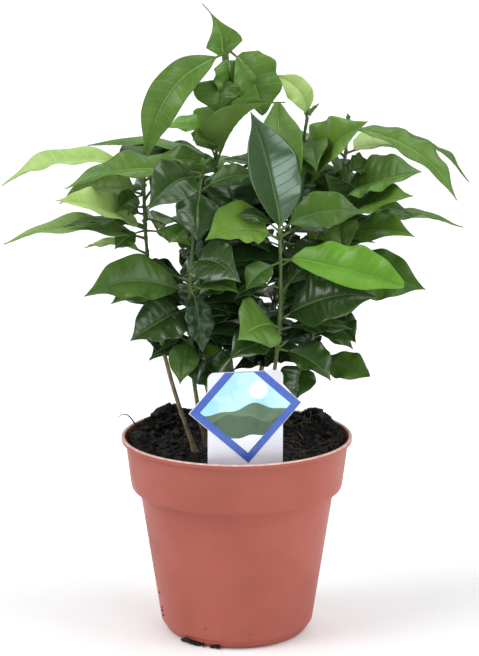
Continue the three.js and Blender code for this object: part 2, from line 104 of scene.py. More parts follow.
def pieceFrom(name, skin, finishes, stands=()):
    points = np.concatenate(skin["points"]) * mm
    loops = np.concatenate([faces.ravel() for faces in skin["faces"]])
    sizes = np.concatenate([np.full(len(faces), faces.shape[1]) for faces in skin["faces"]])
    mesh = bpy.data.meshes.new(name)
    mesh.vertices.add(len(points))
    mesh.vertices.foreach_set("co", points.astype(np.float32).ravel())
    mesh.loops.add(len(loops))
    mesh.loops.foreach_set("vertex_index", loops.astype(np.int32))
    mesh.polygons.add(len(sizes))
    mesh.polygons.foreach_set("loop_start", (np.cumsum(sizes) - sizes).astype(np.int32))
    mesh.polygons.foreach_set("material_index", np.concatenate(skin["slots"]).astype(np.int32))
    piece = placePiece(name, mesh, finishes, stands)
    mesh.update(calc_edges=True)
    mesh.validate()
    mesh.shade_smooth()
    return piece


# faces between rings of equal counts, with both ends closed by strips
def ringFaces(rings, sides, closeEnds=True):
    row = np.arange(rings - 1)[:, None] * sides
    k = np.arange(sides)[None, :]
    after = (k + 1) % sides
    walls = np.stack([row + k, row + after, row + sides + after, row + sides + k], axis=-1).reshape(-1, 4)
    if not closeEnds:
        return walls
    i = np.arange(sides // 2 - 1)
    foot = np.stack([sides - 1 - i, sides - 2 - i, i + 1, i], axis=-1)
    top = np.stack([i, i + 1, sides - 2 - i, sides - 1 - i], axis=-1) + (rings - 1) * sides
    return np.concatenate([walls, foot, top])


# a tube along points, with a radius at each
def tubeSkin(skin, path, radii, sides, slot):
    path = np.asarray(path, float)
    run = unit(np.gradient(path, axis=0))
    aside = np.array([0.0, 0.0, 1.0]) if abs(run[0][2]) < 0.8 else np.array([1.0, 0.0, 0.0])
    across = unit(np.cross(run, aside))
    other = np.cross(run, across)
    turn = np.linspace(0, fullTurn, sides, endpoint=False)
    ring = across[:, None] * np.cos(turn)[None, :, None] + other[:, None] * np.sin(turn)[None, :, None]
    points = path[:, None] + ring * np.asarray(radii, float)[:, None, None]
    addTo(skin, points, ringFaces(len(path), sides), slot)


# shader groups that several finishes share: newGroup takes the inputs, endGroup the results
def addSocket(group, label, side, isColour):
    kind = "NodeSocketColor" if isColour else "NodeSocketFloat"
    return group.interface.new_socket(name=label, in_out=side, socket_type=kind)


def newGroup(name, inputs):
    group = bpy.data.node_groups.new(name, "ShaderNodeTree")
    for label, value in inputs.items():
        addSocket(group, label, "INPUT", isinstance(value, tuple)).default_value = value
    return group, group.nodes.new("NodeGroupInput").outputs


def endGroup(group, results):
    for label, value in results.items():
        addSocket(group, label, "OUTPUT", value.type == "RGBA")
    sink = group.nodes.new("NodeGroupOutput")
    for label, value in results.items():
        group.links.new(value, sink.inputs[label])
    return group


def addNoise(tree, coords, scale, detail, rough):
    node = tree.nodes.new("ShaderNodeTexNoise")
    node.inputs["Detail"].default_value = detail
    node.inputs["Roughness"].default_value = rough
    tree.links.new(coords, node.inputs["Vector"])
    tree.links.new(scale, node.inputs["Scale"])
    return node.outputs[0]


def addRange(tree, value, low, high, toLow=0.0, toHigh=1.0):
    node = tree.nodes.new("ShaderNodeMapRange")
    node.interpolation_type = "SMOOTHSTEP"
    for label, number in (("From Min", low), ("From Max", high), ("To Min", toLow), ("To Max", toHigh)):
        node.inputs[label].default_value = number
    tree.links.new(value, node.inputs["Value"])
    return node.outputs[0]


def addMix(tree, share, colourA, colourB):
    node = tree.nodes.new("ShaderNodeMix")
    node.data_type = "RGBA"
    for socket, value in ((0, share), (6, colourA), (7, colourB)):  # sockets of its colour form
        tree.links.new(value, node.inputs[socket])
    return node.outputs[2]


def addMath(tree, operation, first, second):
    node = tree.nodes.new("ShaderNodeMath")
    node.operation = operation
    tree.links.new(first, node.inputs[0])
    tree.links.new(second, node.inputs[1])
    return node.outputs[0]


# broad patches of a second tint, and a fine grain for bump
def makeTintGroup():
    group, given = newGroup("tintAndGrain", {
        "Base": (0.5, 0.5, 0.5, 1), "Tint": (0.4, 0.4, 0.4, 1), "Patch Scale": 60.0, "Grain Scale": 900.0,
    })
    coords = group.nodes.new("ShaderNodeTexCoord").outputs["Object"]
    broad = addNoise(group, coords, given["Patch Scale"], detail=4.0, rough=0.55)
    patch = addRange(group, broad, low=0.35, high=0.68)
    grain = addNoise(group, coords, given["Grain Scale"], detail=3.0, rough=0.6)
    colour = addMix(group, patch, given["Base"], given["Tint"])
    return endGroup(group, {"Color": colour, "Patch": patch, "Grain": grain})


# a thin film of dust with specks, over another colour
def makeDustGroup():
    group, given = newGroup("dustFilm", {
        "Color": (0.5, 0.5, 0.5, 1), "Dust": (0.3, 0.25, 0.2, 1), "Amount": 0.3, "Speck Scale": 500.0,
        "Cloud Scale": 22.0,
    })
    coords = group.nodes.new("ShaderNodeTexCoord").outputs["Object"]
    dots = addNoise(group, coords, given["Speck Scale"], detail=2.0, rough=0.5)
    specks = addRange(group, dots, low=0.62, high=0.75)
    broad = addNoise(group, coords, given["Cloud Scale"], detail=5.0, rough=0.6)
    cloud = addRange(group, broad, low=0.42, high=0.75)
    film = addMath(group, "MULTIPLY", addMath(group, "MAXIMUM", cloud, specks), given["Amount"])
    return endGroup(group, {"Color": addMix(group, film, given["Color"], given["Dust"])})


tintGroup = makeTintGroup()
dustGroup = makeDustGroup()
plainLook = {"bumpDepth": 0.0003, "specular": 0.5, "shine": (1, 1, 1), "coat": 0.0, "coatRough": 0.1}


# a finish: tinted base, roughness that follows the patches, grain as bump, and dust where asked
def makeFinish(name, look):
    look = {**plainLook, **look}
    material = bpy.data.materials.new(name)
    material.use_nodes = True
    tree = material.node_tree
    shader = tree.nodes["Principled BSDF"]

    def placeGroup(group, keys):
        node = tree.nodes.new("ShaderNodeGroup")
        node.node_tree = group
        for label, key in keys.items():
            value = look[key]
            node.inputs[label].default_value = (*value, 1) if isinstance(value, tuple) else value
        return node

    tint = placeGroup(tintGroup, {
        "Base": "base", "Tint": "tint", "Patch Scale": "patch", "Grain Scale": "grain",
    })
    colour = tint.outputs["Color"]
    if "dust" in look:
        dust = placeGroup(dustGroup, {"Dust": "dust", "Amount": "dustAmount", "Speck Scale": "speck"})
        tree.links.new(colour, dust.inputs["Color"])
        colour = dust.outputs["Color"]
    tree.links.new(colour, shader.inputs["Base Color"])
    rough = addRange(tree, tint.outputs["Patch"], 0.0, 1.0, *look["rough"])
    tree.links.new(rough, shader.inputs["Roughness"])
    bump = tree.nodes.new("ShaderNodeBump")
    bump.inputs["Strength"].default_value = look["bump"]
    bump.inputs["Distance"].default_value = look["bumpDepth"]
    tree.links.new(tint.outputs["Grain"], bump.inputs["Height"])
    tree.links.new(bump.outputs["Normal"], shader.inputs["Normal"])
    shader.inputs["Specular Tint"].default_value = (*look["shine"], 1)
    shader.inputs["Specular IOR Level"].default_value = look["specular"]
    shader.inputs["Coat Weight"].default_value = look["coat"]
    shader.inputs["Coat Roughness"].default_value = look["coatRough"]
    return material


# the pot: a tapered body, a rounded shoulder, a deep collar and a rolled lip
pot = {
    "height": 104, "rimRadius": 60, "lipHeight": 2.6, "collarTop": 57.9, "collarFoot": 55.2,
    "collarFootHeight": 79.5, "shoulderDrop": 6.5, "bodyTop": 50.2, "bodyFoot": 39.8,
    "footRingHeight": 4.6, "baseRadius": 36.8, "wall": 1.3, "floor": 2, "segments": 192,
    "drainCount": 6, "drainRadius": 4, "drainCircle": 25, "drainSides": 32, "drillLong": 8,
    "hubRadius": 12.0, "footRingWide": 4.0, "lipWide": 1.7, "lipDeep": 99, "scuffDeep": 0.5, "scuffPast": 0.3,
    "filletSteps": 6, "mostCut": 0.48, "sharpAngle": 40,
}
shoulderFoot = pot["collarFootHeight"] - pot["shoulderDrop"]
potFinish = makeFinish("potTerracotta", {
    "base": (0.40, 0.098, 0.07), "tint": (0.365, 0.087, 0.062), "patch": 26.0, "grain": 2600.0,
    "rough": (0.42, 0.54), "bump": 0.12, "bumpDepth": 0.0002, "specular": 0.3,
    "dust": (0.17, 0.075, 0.055), "dustAmount": 0.16, "speck": 420.0,
})
# the top of the lip is painted pale pink: a painted highlight where the rim's top catches the light
potLipHighlightFinish = makeFinish("potScuffedLip", {
    "base": (0.74, 0.52, 0.46), "tint": (0.62, 0.36, 0.3), "patch": 240.0, "grain": 2600.0,
    "rough": (0.34, 0.5), "bump": 0.15, "bumpDepth": 0.0002,
})


def potInnerRadius(z):
    heights = [pot["footRingHeight"], shoulderFoot, pot["collarFootHeight"], pot["height"]]
    radii = [pot["bodyFoot"], pot["bodyTop"], pot["collarFoot"], pot["collarTop"]]
    if z < heights[0]:
        slope = (radii[1] - radii[0]) / (heights[1] - heights[0])
        return radii[0] + slope * (z - heights[0]) - pot["wall"]
    return float(np.interp(z, heights, radii)) - pot["wall"]


# corners (radius, height, rounding): each is rounded by a short curve between the straight runs
def roundedProfile(corners):
    points, steps = [corners[0][:2]], pot["filletSteps"]
    for before, here, after in zip(corners, corners[1:], corners[2:]):
        middle = np.array(here[:2], float)
        toBefore = np.array(before[:2], float) - middle
        toAfter = np.array(after[:2], float) - middle
        runBefore, runAfter = np.linalg.norm(toBefore), np.linalg.norm(toAfter)
        cut = min(here[2], pot["mostCut"] * runBefore, pot["mostCut"] * runAfter)
        first = middle + toBefore / runBefore * cut
        last = middle + toAfter / runAfter * cut
        for s in np.arange(steps + 1) / steps:
            points.append(tuple(first * (1 - s) ** 2 + middle * 2 * s * (1 - s) + last * s * s))
    points.append(corners[-1][:2])
    return points


def makePot():
    lipFoot = pot["height"] - pot["lipHeight"]
    corners = [  # close to the named sizes, with small steps for the creases and the lip
        (pot["hubRadius"], 0.0, 0),
        (pot["baseRadius"] - pot["footRingWide"], 0.0, 0.3),
        (pot["baseRadius"], 0.0, 1.6),
        (pot["bodyFoot"] - 1.35, pot["footRingHeight"] - 0.8, 0.3),  # crease over the foot ring
        (pot["bodyFoot"] + 0.1, pot["footRingHeight"] + 0.2, 0.7),
        (pot["bodyTop"], shoulderFoot, 1.6),
        (pot["bodyTop"] + 0.4, shoulderFoot + 2.3, 1.0),  # crease under the shoulder
        (pot["collarFoot"] - 0.5, pot["collarFootHeight"] - 2.6, 1.6),
        (pot["collarFoot"], pot["collarFootHeight"] - 0.3, 1.6),
        (pot["collarTop"] - 0.05, lipFoot - 0.1, 0.5),
        (pot["rimRadius"], lipFoot + 0.3, 0.7),
        (pot["rimRadius"], pot["height"], 0.8),
        (pot["rimRadius"] - pot["lipWide"], pot["height"], 0.5),
        (potInnerRadius(pot["lipDeep"]), pot["lipDeep"], 1.5),
        (potInnerRadius(pot["collarFootHeight"]), pot["collarFootHeight"], 0.8),
        (potInnerRadius(shoulderFoot), shoulderFoot, 0.8),
        (potInnerRadius(pot["floor"]), pot["floor"], 0.8),
        (pot["hubRadius"], pot["floor"], 0),
    ]
    profile = np.array(roundedProfile(corners))
    turn = np.linspace(0, fullTurn, pot["segments"], endpoint=False)
    radius, height = profile[:, :1], profile[:, 1:]
    points = np.stack([radius * np.cos(turn), radius * np.sin(turn), height + 0 * turn], axis=-1)
    faces = ringFaces(len(profile), len(turn), closeEnds=False)
    middle = 0.5 * (profile[:-1] + profile[1:])
    # faces on top of the rim get the painted highlight finish
    highlightFrom = pot["rimRadius"] - pot["lipWide"] - pot["scuffPast"]
    lip = (middle[:, 1] > pot["height"] - pot["scuffDeep"]) & (middle[:, 0] > highlightFrom)
    skin = newSkin()
    addTo(skin, points, faces, np.repeat(lip.astype(int), len(turn)))
    # floor discs close the middle, under side and upper side
    fan = np.arange(len(turn))
    for height, ringStart, flip in ((0.0, 0, True), (pot["floor"], (len(profile) - 1) * len(turn), False)):
        a, b = ringStart + fan, ringStart + (fan + 1) % len(turn)
        hub = np.full(len(turn), skin["count"])
        fanFaces = np.stack([hub, b, a] if flip else [hub, a, b], axis=-1)
        addTo(skin, (0.0, 0.0, height), fanFaces - skin["count"], 0)
    piece = pieceFrom("pot_body", skin, [potFinish, potLipHighlightFinish], ["pot"])
    # drain holes
    cutter = bmesh.new()
    drain = pot["drainRadius"] * mm
    for i in range(pot["drainCount"]):
        angle = fullTurn * (i + 0.5) / pot["drainCount"]
        made = bmesh.ops.create_cone(cutter, cap_ends=True, segments=pot["drainSides"], radius1=drain,
                                     radius2=drain, depth=pot["drillLong"] * mm)
        at = Vector((math.cos(angle), math.sin(angle), 0)) * pot["drainCircle"] * mm
        bmesh.ops.translate(cutter, verts=made["verts"], vec=at)
    cutMesh = bpy.data.meshes.new("drainCutter")
    cutter.to_mesh(cutMesh)
    cutter.free()
    cutObject = addObject("drainCutter", cutMesh)
    drill = piece.modifiers.new("drain", "BOOLEAN")
    drill.object = cutObject
    drill.operation = "DIFFERENCE"
    drill.solver = "EXACT"
    shaped = bpy.data.meshes.new_from_object(piece.evaluated_get(bpy.context.evaluated_depsgraph_get()))
    piece.modifiers.clear()
    piece.data = shaped
    shaped.name = "pot_body"
    shaped.shade_smooth()
    shaped.set_sharp_from_angle(angle=math.radians(pot["sharpAngle"]))
    bpy.data.objects.remove(cutObject)


makePot()
print("pot turned")


# the soil: crumbly peat, heaped against the wall at the back left, the right and the left
soil = {
    "level": 97, "foot": 2.3,
    "heaps": [(-38, 36, 6.5, 13), (40, 27, 6.5, 14), (-49, -8, 3, 12)],  # x, y, rise, width
    "climb": {"rise": 6.2, "from": 42, "to": 55.5, "front": -58, "back": -8},
    "cells": 170, "sideHigh": 90, "sideLow": 40, "rough": 1.7,
    "lumps": ((0.16, 3.1, 0.55, 0.8), (0.42, 8.2, 0.5, 0.6)),  # scale, slice of the noise, top, share
    "grit": (0.75, 1.7, 0.8), "gritNoise": (0.8, 2.1, 4),  # scale, slice, share
}
peatFinish = makeFinish("peat", {
    "base": (0.0085, 0.0078, 0.0074), "tint": (0.021, 0.0185, 0.017), "patch": 210.0, "grain": 1500.0,
    "rough": (0.6, 0.9), "bump": 0.8, "bumpDepth": 0.0008, "specular": 0.14,
})
crumbFinish = makeFinish("peatCrumb", {
    "base": (0.0105, 0.0096, 0.009), "tint": (0.033, 0.029, 0.026), "patch": 330.0, "grain": 2200.0,
    "rough": (0.45, 0.8), "bump": 0.7, "bumpDepth": 0.0005, "specular": 0.2,
})
barkBitFinish = makeFinish("barkBit", {
    "base": (0.032, 0.017, 0.011), "tint": (0.016, 0.01, 0.008), "patch": 400.0, "grain": 2000.0,
    "rough": (0.6, 0.85), "bump": 0.6, "bumpDepth": 0.0004, "specular": 0.3,
})
fibreFinish = makeFinish("strawFibre", {
    "base": (0.16, 0.11, 0.055), "tint": (0.085, 0.055, 0.03), "patch": 350.0, "grain": 2500.0,
    "rough": (0.55, 0.75), "bump": 0.3, "specular": 0.35,
})
rootletFinish = makeFinish("darkRootlet", {
    "base": (0.026, 0.017, 0.012), "tint": (0.012, 0.009, 0.007), "patch": 350.0, "grain": 2500.0,
    "rough": (0.6, 0.8), "bump": 0.3, "specular": 0.35,
})


def soilHeight(x, y):
    height = soil["level"] + 0.0 * x
    for hx, hy, rise, wide in soil["heaps"]:
        height = height + rise * np.exp(-((x - hx) ** 2 + (y - hy) ** 2) / wide ** 2)
    climb = soil["climb"]
    near = smooth(climb["from"], climb["to"], np.hypot(x, y))
    return height + climb["rise"] * near * smooth(climb["front"], climb["back"], y)


# lumps of two sizes and fine grit between
def soilLump(x, y):
    rise = 0.0
    for scale, at, top, share in soil["lumps"]:
        rise += share * (top - noise.voronoi(Vector((x * scale, y * scale, at)))[0][0])
    scale, at, share = soil["grit"]
    rise += share * noise.fractal(Vector((x * scale, y * scale, at)), *soil["gritNoise"])
    return soil["rough"] * rise


def makeSoil():
    cells = soil["cells"]
    axis = np.linspace(-1, 1, cells + 1)
    a, b = np.meshgrid(axis, axis, indexing="ij")  # a square grid, drawn out to a disc
    wider = np.abs(a) > np.abs(b)
    radius = np.where(wider, a, b)
    with np.errstate(divide="ignore", invalid="ignore"):
        angle = np.where(wider, math.pi / 4 * b / a, math.pi / 2 - math.pi / 4 * a / b)
    angle = np.nan_to_num(angle)
    reach = potInnerRadius(soil["level"]) - seatGap
    x, y = reach * radius * np.cos(angle), reach * radius * np.sin(angle)
    lumps = np.array([soilLump(px, py) for px, py in zip(x.ravel(), y.ravel())]).reshape(x.shape)
    z = soilHeight(x, y) + lumps
    points = np.stack([x, y, z], axis=-1).reshape(-1, 3)
    i, j = np.meshgrid(np.arange(cells), np.arange(cells), indexing="ij")
    n = cells + 1
    corner = i * n + j
    quads = np.stack([corner, corner + n, corner + n + 1, corner + 1], axis=-1).reshape(-1, 4)
    skin = newSkin()
    addTo(skin, points, quads, 0)
    # the side follows the pot's wall down to the floor
    k = np.arange(cells)
    edge = np.concatenate([k * n, cells * n + k, (cells - k) * n + cells, cells - k])
    rows = [points[edge]]
    around = unit(points[edge][:, :2])
    for height in (soil["sideHigh"], pot["collarFootHeight"], shoulderFoot, soil["sideLow"], soil["foot"]):
        wall = potInnerRadius(height) - seatGap
        rows.append(np.column_stack([around * wall, np.full(len(edge), float(height))]))
    walls = ringFaces(len(rows), len(edge), closeEnds=False)[:, ::-1]
    k = np.arange(len(edge) // 2 - 1)
    foot = np.stack([k, k + 1, len(edge) - 2 - k, len(edge) - 1 - k], axis=-1)
    foot = foot + (len(rows) - 1) * len(edge)
    addTo(skin, np.concatenate(rows), np.concatenate([walls, foot[:, ::-1]]), 0)
    pieceFrom("soil_bed", skin, [peatFinish], ["soil"])


def icoBall():
    ball = bmesh.new()
    bmesh.ops.create_icosphere(ball, subdivisions=crumbs["ballSteps"], radius=1.0)
    points = np.array([v.co for v in ball.verts])
    faces = np.array([[v.index for v in f.verts] for f in ball.faces])
    ball.free()
    return points, faces


# loose crumbs: knobbly lumps half sunk in the bed, and some stuck to the pot's foot (x, z, size)
crumbs = {
    "count": 1500, "size": (0.35, 2.2), "fewLarge": 2.2, "stretch": ((1, 0.5), (0.8, 0.3), (0.6, 0.3)),
    "knobs": 0.85, "knobScale": 1.9, "noiseSpan": 90, "inset": 2.0, "heapEvery": 5, "proud": 0.25,
    "barkShare": 0.04, "footStretch": (1.1, 0.7, 0.6), "footProud": 0.15, "footSpread": 0.6, "ballSteps": 2,
    "seed": 21,
    "onFoot": [(-27.0, 0.9, 1.6), (-25.2, 1.6, 1.9), (-23.6, 1.2, 1.5), (-21.5, 1.0, 1.7), (-19.6, 0.9, 1.3),
               (-17.3, 0.8, 1.2), (-12.6, 0.7, 1.3), (-10.9, 1.0, 1.1), (-9.3, 0.8, 1.4), (-38.3, 9.5, 0.7),
               (-38.9, 14.0, 0.6), (-38.8, 12.0, 0.8), (-40.2, 22.0, 0.6), (7.0, 9.0, 0.4),
               (-16.0, 11.0, 0.4)],
}


def makeCrumbs():
    draw = seededDraws(crumbs["seed"])
    ball, faces = icoBall()
    skin = newSkin()
    reach = potInnerRadius(soil["level"]) - crumbs["inset"]

    def addCrumb(middle, size, stretch, slot):
        shift = Vector([draw() * crumbs["noiseSpan"] for axis in range(3)])
        knobs = [1 + crumbs["knobs"] * noise.noise(Vector(p) * crumbs["knobScale"] + shift) for p in ball]
        turn = draw() * fullTurn
        shape = ball * np.array(knobs)[:, None] * stretch * size
        c, s = math.cos(turn), math.sin(turn)
        x, y, z = shape.T
        placed = np.stack([c * x - s * y, s * x + c * y, z], -1) + middle
        placed[:, 2] = np.maximum(placed[:, 2], 0)  # none reaches under the pot's foot
        addTo(skin, placed, faces, slot)

    small, large = crumbs["size"]
    for i in range(crumbs["count"]):
        away, turn = reach * math.sqrt(draw()), fullTurn * draw()
        if i % crumbs["heapEvery"] == 0:  # more of them on the heaps
            heap = soil["heaps"][int(draw() * len(soil["heaps"]))]
            x, y = [heap[axis] + heap[3] * (draw() - 0.5) for axis in (0, 1)]
        else:
            x, y = away * math.cos(turn), away * math.sin(turn)
        size = small + (large - small) * draw() ** crumbs["fewLarge"]
        far = math.hypot(x, y)
        if far > reach - size:
            x, y = x * (reach - size) / far, y * (reach - size) / far
        stretch = np.array([least + more * draw() for least, more in crumbs["stretch"]])
        z = float(soilHeight(x, y)) + soilLump(x, y) + crumbs["proud"] * size
        addCrumb(np.array([x, y, z]), size, stretch, 1 if draw() < crumbs["barkShare"] else 0)
    heights = [0, pot["footRingHeight"], shoulderFoot]
    radii = [pot["baseRadius"] + crumbs["footSpread"], pot["bodyFoot"], pot["bodyTop"]]
    for x, z, size in crumbs["onFoot"]:
        around = np.interp(z, heights, radii)
        y = -math.sqrt(max(0.0, around ** 2 - x ** 2))
        out = np.array([x, y, 0.0]) / around
        addCrumb(np.array([x, y, z]) + crumbs["footProud"] * out, size, np.array(crumbs["footStretch"]), 0)
    pieceFrom("soil_crumbs", skin, [crumbFinish, barkBitFinish])


# straw fibres and rootlets that lie on the bed, every other one on its right side
fibres = {
    "count": 46, "long": (7, 21), "thick": (0.16, 0.36), "taper": 0.6, "bend": 0.8, "bowMiddle": 0.1,
    "points": 13, "sides": 6, "rightAt": (34, 6), "rightSpread": (26, 56), "spread": 84, "within": 48,
    "edge": 54.2, "lift": (0.9, 2.2), "onLumps": 0.5, "strawShare": 0.75, "seed": 77,
}
# one rootlet curls over the left rim
rootlet = {
    "from": (-50.5, 12, 99), "run": (-12.0, 4, -2.2), "arch": 13.5, "archTurn": 2.0, "wave": 1.2,
    "waveTurn": 5, "thick": 0.5, "taper": 0.34, "points": 28, "sides": 8,
}


def makeFibres():
    draw = seededDraws(fibres["seed"])
    skin = newSkin()
    for i in range(fibres["count"]):
        right = i % 2 == 0
        spot = np.array([draw(), draw()]) - 0.5
        middle = fibres["rightAt"] + fibres["rightSpread"] * spot if right else fibres["spread"] * spot
        far = np.linalg.norm(middle)
        if far > fibres["within"]:
            middle = middle * fibres["within"] / far
        turn, long, bend = draw() * fullTurn, between(draw, fibres["long"]), (draw() - 0.5) * fibres["bend"]
        s = np.linspace(-0.5, 0.5, fibres["points"])
        bow = bend * (s * s - fibres["bowMiddle"])
        x = middle[0] + long * (s * math.cos(turn) - bow * math.sin(turn))
        y = middle[1] + long * (s * math.sin(turn) + bow * math.cos(turn))
        inside = np.minimum(1, fibres["edge"] / np.maximum(np.hypot(x, y), tiny))
        x, y = x * inside, y * inside
        least, more = fibres["lift"]
        lift = least + more * draw() * np.clip(1 - (2 * s) ** 2, 0, 1)
        lumps = np.array([max(0.0, soilLump(px, py)) for px, py in zip(x, y)])
        z = soilHeight(x, y) + lumps * fibres["onLumps"] + lift
        thick = between(draw, fibres["thick"]) * (1 - fibres["taper"] * np.abs(2 * s))
        straw = right and draw() < fibres["strawShare"]
        tubeSkin(skin, np.stack([x, y, z], -1), thick, fibres["sides"], 0 if straw else 1)
    s = np.linspace(0, 1, rootlet["points"])
    (x, y, z), (runX, runY, runZ) = rootlet["from"], rootlet["run"]
    path = np.stack([
        x + runX * s, y + runY * s + rootlet["wave"] * np.sin(rootlet["waveTurn"] * s),
        z + rootlet["arch"] * np.sin(rootlet["archTurn"] * s) + runZ * s,
    ], -1)
    tubeSkin(skin, path, rootlet["thick"] - rootlet["taper"] * s, rootlet["sides"], 1)
    pieceFrom("soil_fibres", skin, [fibreFinish, rootletFinish])


makeSoil()
makeCrumbs()
makeFibres()
print("soil filled")


# a leaf: height on its stem, reach to the tip, width, arch, roll, tone, outline, fold and ripple
def leafRow(at, reach, wide, arch, roll, tone, shape=(0.9, 1.15), fold=14, ripple=1.0):
    return {"at": at, "reach": reach, "wide": wide, "arch": arch, "roll": roll, "tone": tone, "shape": shape,
            "fold": fold, "ripple": ripple}


# a plant: foot, bend and top of its stem, where bare stem ends, turn of its pairs, leaves of the outline
def seedlingRow(name, foot, bend, top, bareTo, spin, rows):
    return {"name": name, "foot": foot, "bend": bend, "top": top, "bareTo": bareTo, "spin": spin,
            "leaves": [leafRow(*row) for row in rows]}


seedlings = [
    seedlingRow("left", (-21, -12), (-49, -4, 168), (-47, 4, 241), 192, 20, [
        # the pale and bright tints on these leaves carry painted light: a painted backlit glow and painted
        # sheen
        (240, (-74, 14, -9), 18, 11, 28, "pale", (1.3, 1.1)),
        (229, (-46, 14, -5), 24, 5, 36, "bright", (0.6, 1.3)),
        (213, (-41, -44, 19), 22, 2, 42, "pale", (0.6, 1.1)),
        (207, (-71, -16, 1), 20, 6, 22, "bright", (0.7, 1.2)),
        (199, (-34, 20, 0), 18, 4, 0, "pale"),
    ]),
    seedlingRow("left_front", (-15, -5), (-31, -24, 160), (-17, -14, 243), 133, 70, [
        (242, (-70, 4, -6), 23, 5, 25, "light"),
        (240, (-24, -41, -10), 25, 5, 40, "dark"),
        (236, (-1, -20, -25), 24, 3, 20, "dark"),
        (197, (23, -43, -1), 27, 5, 45, "dark"),
        (182, (-52, -18, 3), 27, 5, 50, "mid"),
        (182, (24, -38, 7), 22, 5, 20, "mid"),
        (174, (-29, -22, -12), 27, 2, 42, "dark", (0.45, 1)),
        # the pale patches of this mottled leaf are partly painted sheen
        (186, (6, -15, -31), 16, 3, -10, "mottled", (0.6, 0.8)),
        (160, (-5, -19, -21), 16, 3, 20, "mid"),
        (146, (17, -22, -10), 24, 4, 30, "dark"),
        (152, (3, -17, -12), 15, 2, 30, "deep"),
        (216, (-13, -10, -7), 11, 2, 40, "mid"),
    ]),
    seedlingRow("tall", (8, 4), (-22, 6, 190), (-5, 12, 302), 140, 45, [
        (292, (-11, 6, 33), 20, 3, 48, "light", (0.8, 3.7)),
        (300, (-39, -24, -50), 20, 10, 55, "light", (0.7, 0.7)),
        (302, (18, 2, -34), 29, 5, 60, "light", (0.5, 0.7)),
        (291, (-3, -12, -20), 25, 2, 0, "mid", (0.6, 0.8)),
        (244, (33, -44, 36), 42, 9, 30, "light", (0.3, 2.2), 57),
        (246, (-68, 32, 4), 16, 4, 5, "light"),
        (243, (12, -29, -24), 29, 5, 10, "dark"),
        (234, (-7, -19, -26), 23, 4, 20, "dark"),
        (149, (-11, -25, -7), 17, 2, 45, "young"),
        (200, (12, -17, -8), 12, 2, 45, "young"),
        (160, (15, -20, -14), 24, 3, 30, "deep"),
        (260, (-27, 10, 2), 12, 2, 45, "young"),
    ]),
    seedlingRow("front", (9, -16), (25, -36, 150), (21, -28, 216), 150, 0, [
        (211, (-14, 18, 62), 33, 5, 10, "shiny", (0.9, 1.15), 22, 0.3),
        (211, (-37, -12, 3), 34, 5, 35, "fresh", (0.9, 1.15), 14, 0.4),
        (201, (59, -26, -9), 24, 4, 45, "young", (0.6, 0.5)),
        (200, (-17, -16, -11), 14, 2, 30, "mid"),
        (171, (47, -15, 15), 34, 4, 50, "dark"),
        (167, (-20, -30, 0), 29, 4, 45, "light"),
        (159, (-24, -16, -4), 22, 3, 25, "dark"),
        (156, (27, -12, -13), 23, 3, 30, "dark"),
        (213, (0, 40, 65), 22, 3, 10, "light", (0.7, 0.6)),
    ]),
    seedlingRow("right", (17, -2), (46, 4, 150), (57, 14, 262), 136, 10, [
        (261, (68, 28, -28), 17, 8, 12, "light"),
        (262, (56, -13, -35), 18, 7, 24, "light"),
        (249, (38, 34, -4), 24, 4, 10, "pale"),
        (227, (39, -24, 16), 35, 2, 30, "light", (0.4, 0.95)),
        (222, (-13, -10, -20), 20, 3, 40, "fresh", (0.6, 1)),
        (214, (36, -35, 18), 24, 4, 32, "light"),
        (216, (42, 5, 1), 18, 4, 15, "mid"),
        (210, (70, 25, 1), 16, 4, 5, "light"),
        (203, (39, -29, 9), 21, 4, 35, "light"),
        (188, (49, -17, -5), 29, 2, 55, "mid"),
        (161, (19, -30, -2), 22, 3, 20, "dark"),
        (144, (31, -24, -3), 18, 1, 45, "mid", (1.4, 0.8)),
        (148, (-23, -29, -2), 25, 4, 20, "deep"),
        (143, (-5, -18, -17), 20, 3, 20, "dark"),
        (214, (-6, -10, 26), 26, 1, 0, "mid", (0.5, 0.8)),
    ]),
    seedlingRow("right_back", (6, 16), (22, 26, 180), (36, 24, 264), 142, 35, [
        (228, (33, -32, 40), 33, 3, 60, "fresh", (0.6, 1)),
        # the pale tint of this edge-on leaf is a painted sheen
        (261, (-17, -4, 27), 14, 7, 70, "pale"),
        (264, (6, -6, 10), 5, 1, 0, "pale"),
        (251, (16, 66, -18), 25, 11, 0, "light"),
        (222, (6, 72, -4), 26, 8, 0, "mid"),
        (204, (42, 56, -4), 26, 7, 0, "mid"),
        (222, (22, -24, -7), 30, 4, 30, "deep"),
        (190, (-14, -38, -2), 30, 4, 30, "deep"),
        (164, (-8, -36, -4), 28, 4, 30, "deep"),
    ]),
    seedlingRow("left_back", (-10, 20), (-28, 40, 165), (-26, 52, 240), 142, 15, [
        (237, (-6, 60, -18), 25, 9, 0, "light"),
        (222, (42, 44, -8), 26, 6, 0, "mid"),
        (203, (-18, 60, -8), 26, 7, 0, "mid"),
        (180, (30, 54, -6), 25, 6, 0, "mid"),
        (174, (-50, 38, -6), 25, 6, 0, "mid"),
        (178, (-42, -20, -8), 24, 4, 40, "mid"),
    ]),
]
leans = (0, -4, 4, -8, 8, -12, 12, -16, 16)  # a leaf leans to the front or the back, to clear another
tipSlack = 0.02  # a leaf grew where its tip is this close to a corner of the solid
quarterTurn = 90

# leaves that fill the crown: pairs up each stem, each pair a right angle from the one below
fill = {
    "seed": 4127, "firstStep": 6, "step": 7, "turnSpread": 36, "tries": 12,
    "long": (34, 62), "wideShare": (0.38, 0.48), "rise": (-20, 24), "arch": (0.06, 0.14), "roll": (5, 45),
}
stem = {"footRadius": 1.45, "topRadius": 0.8, "flare": 1, "flareHeight": 4, "flareFrom": -1.5, "bud": 3}
# a filling leaf is darker the lower it stands, and paler towards the back; lower leaves are older, and the
# darker tints low in the crown are also painted shade
depths = {"from": 130, "span": 120, "spread": 0.25, "behind": 0.004, "deep": 0.4, "dark": 0.75}


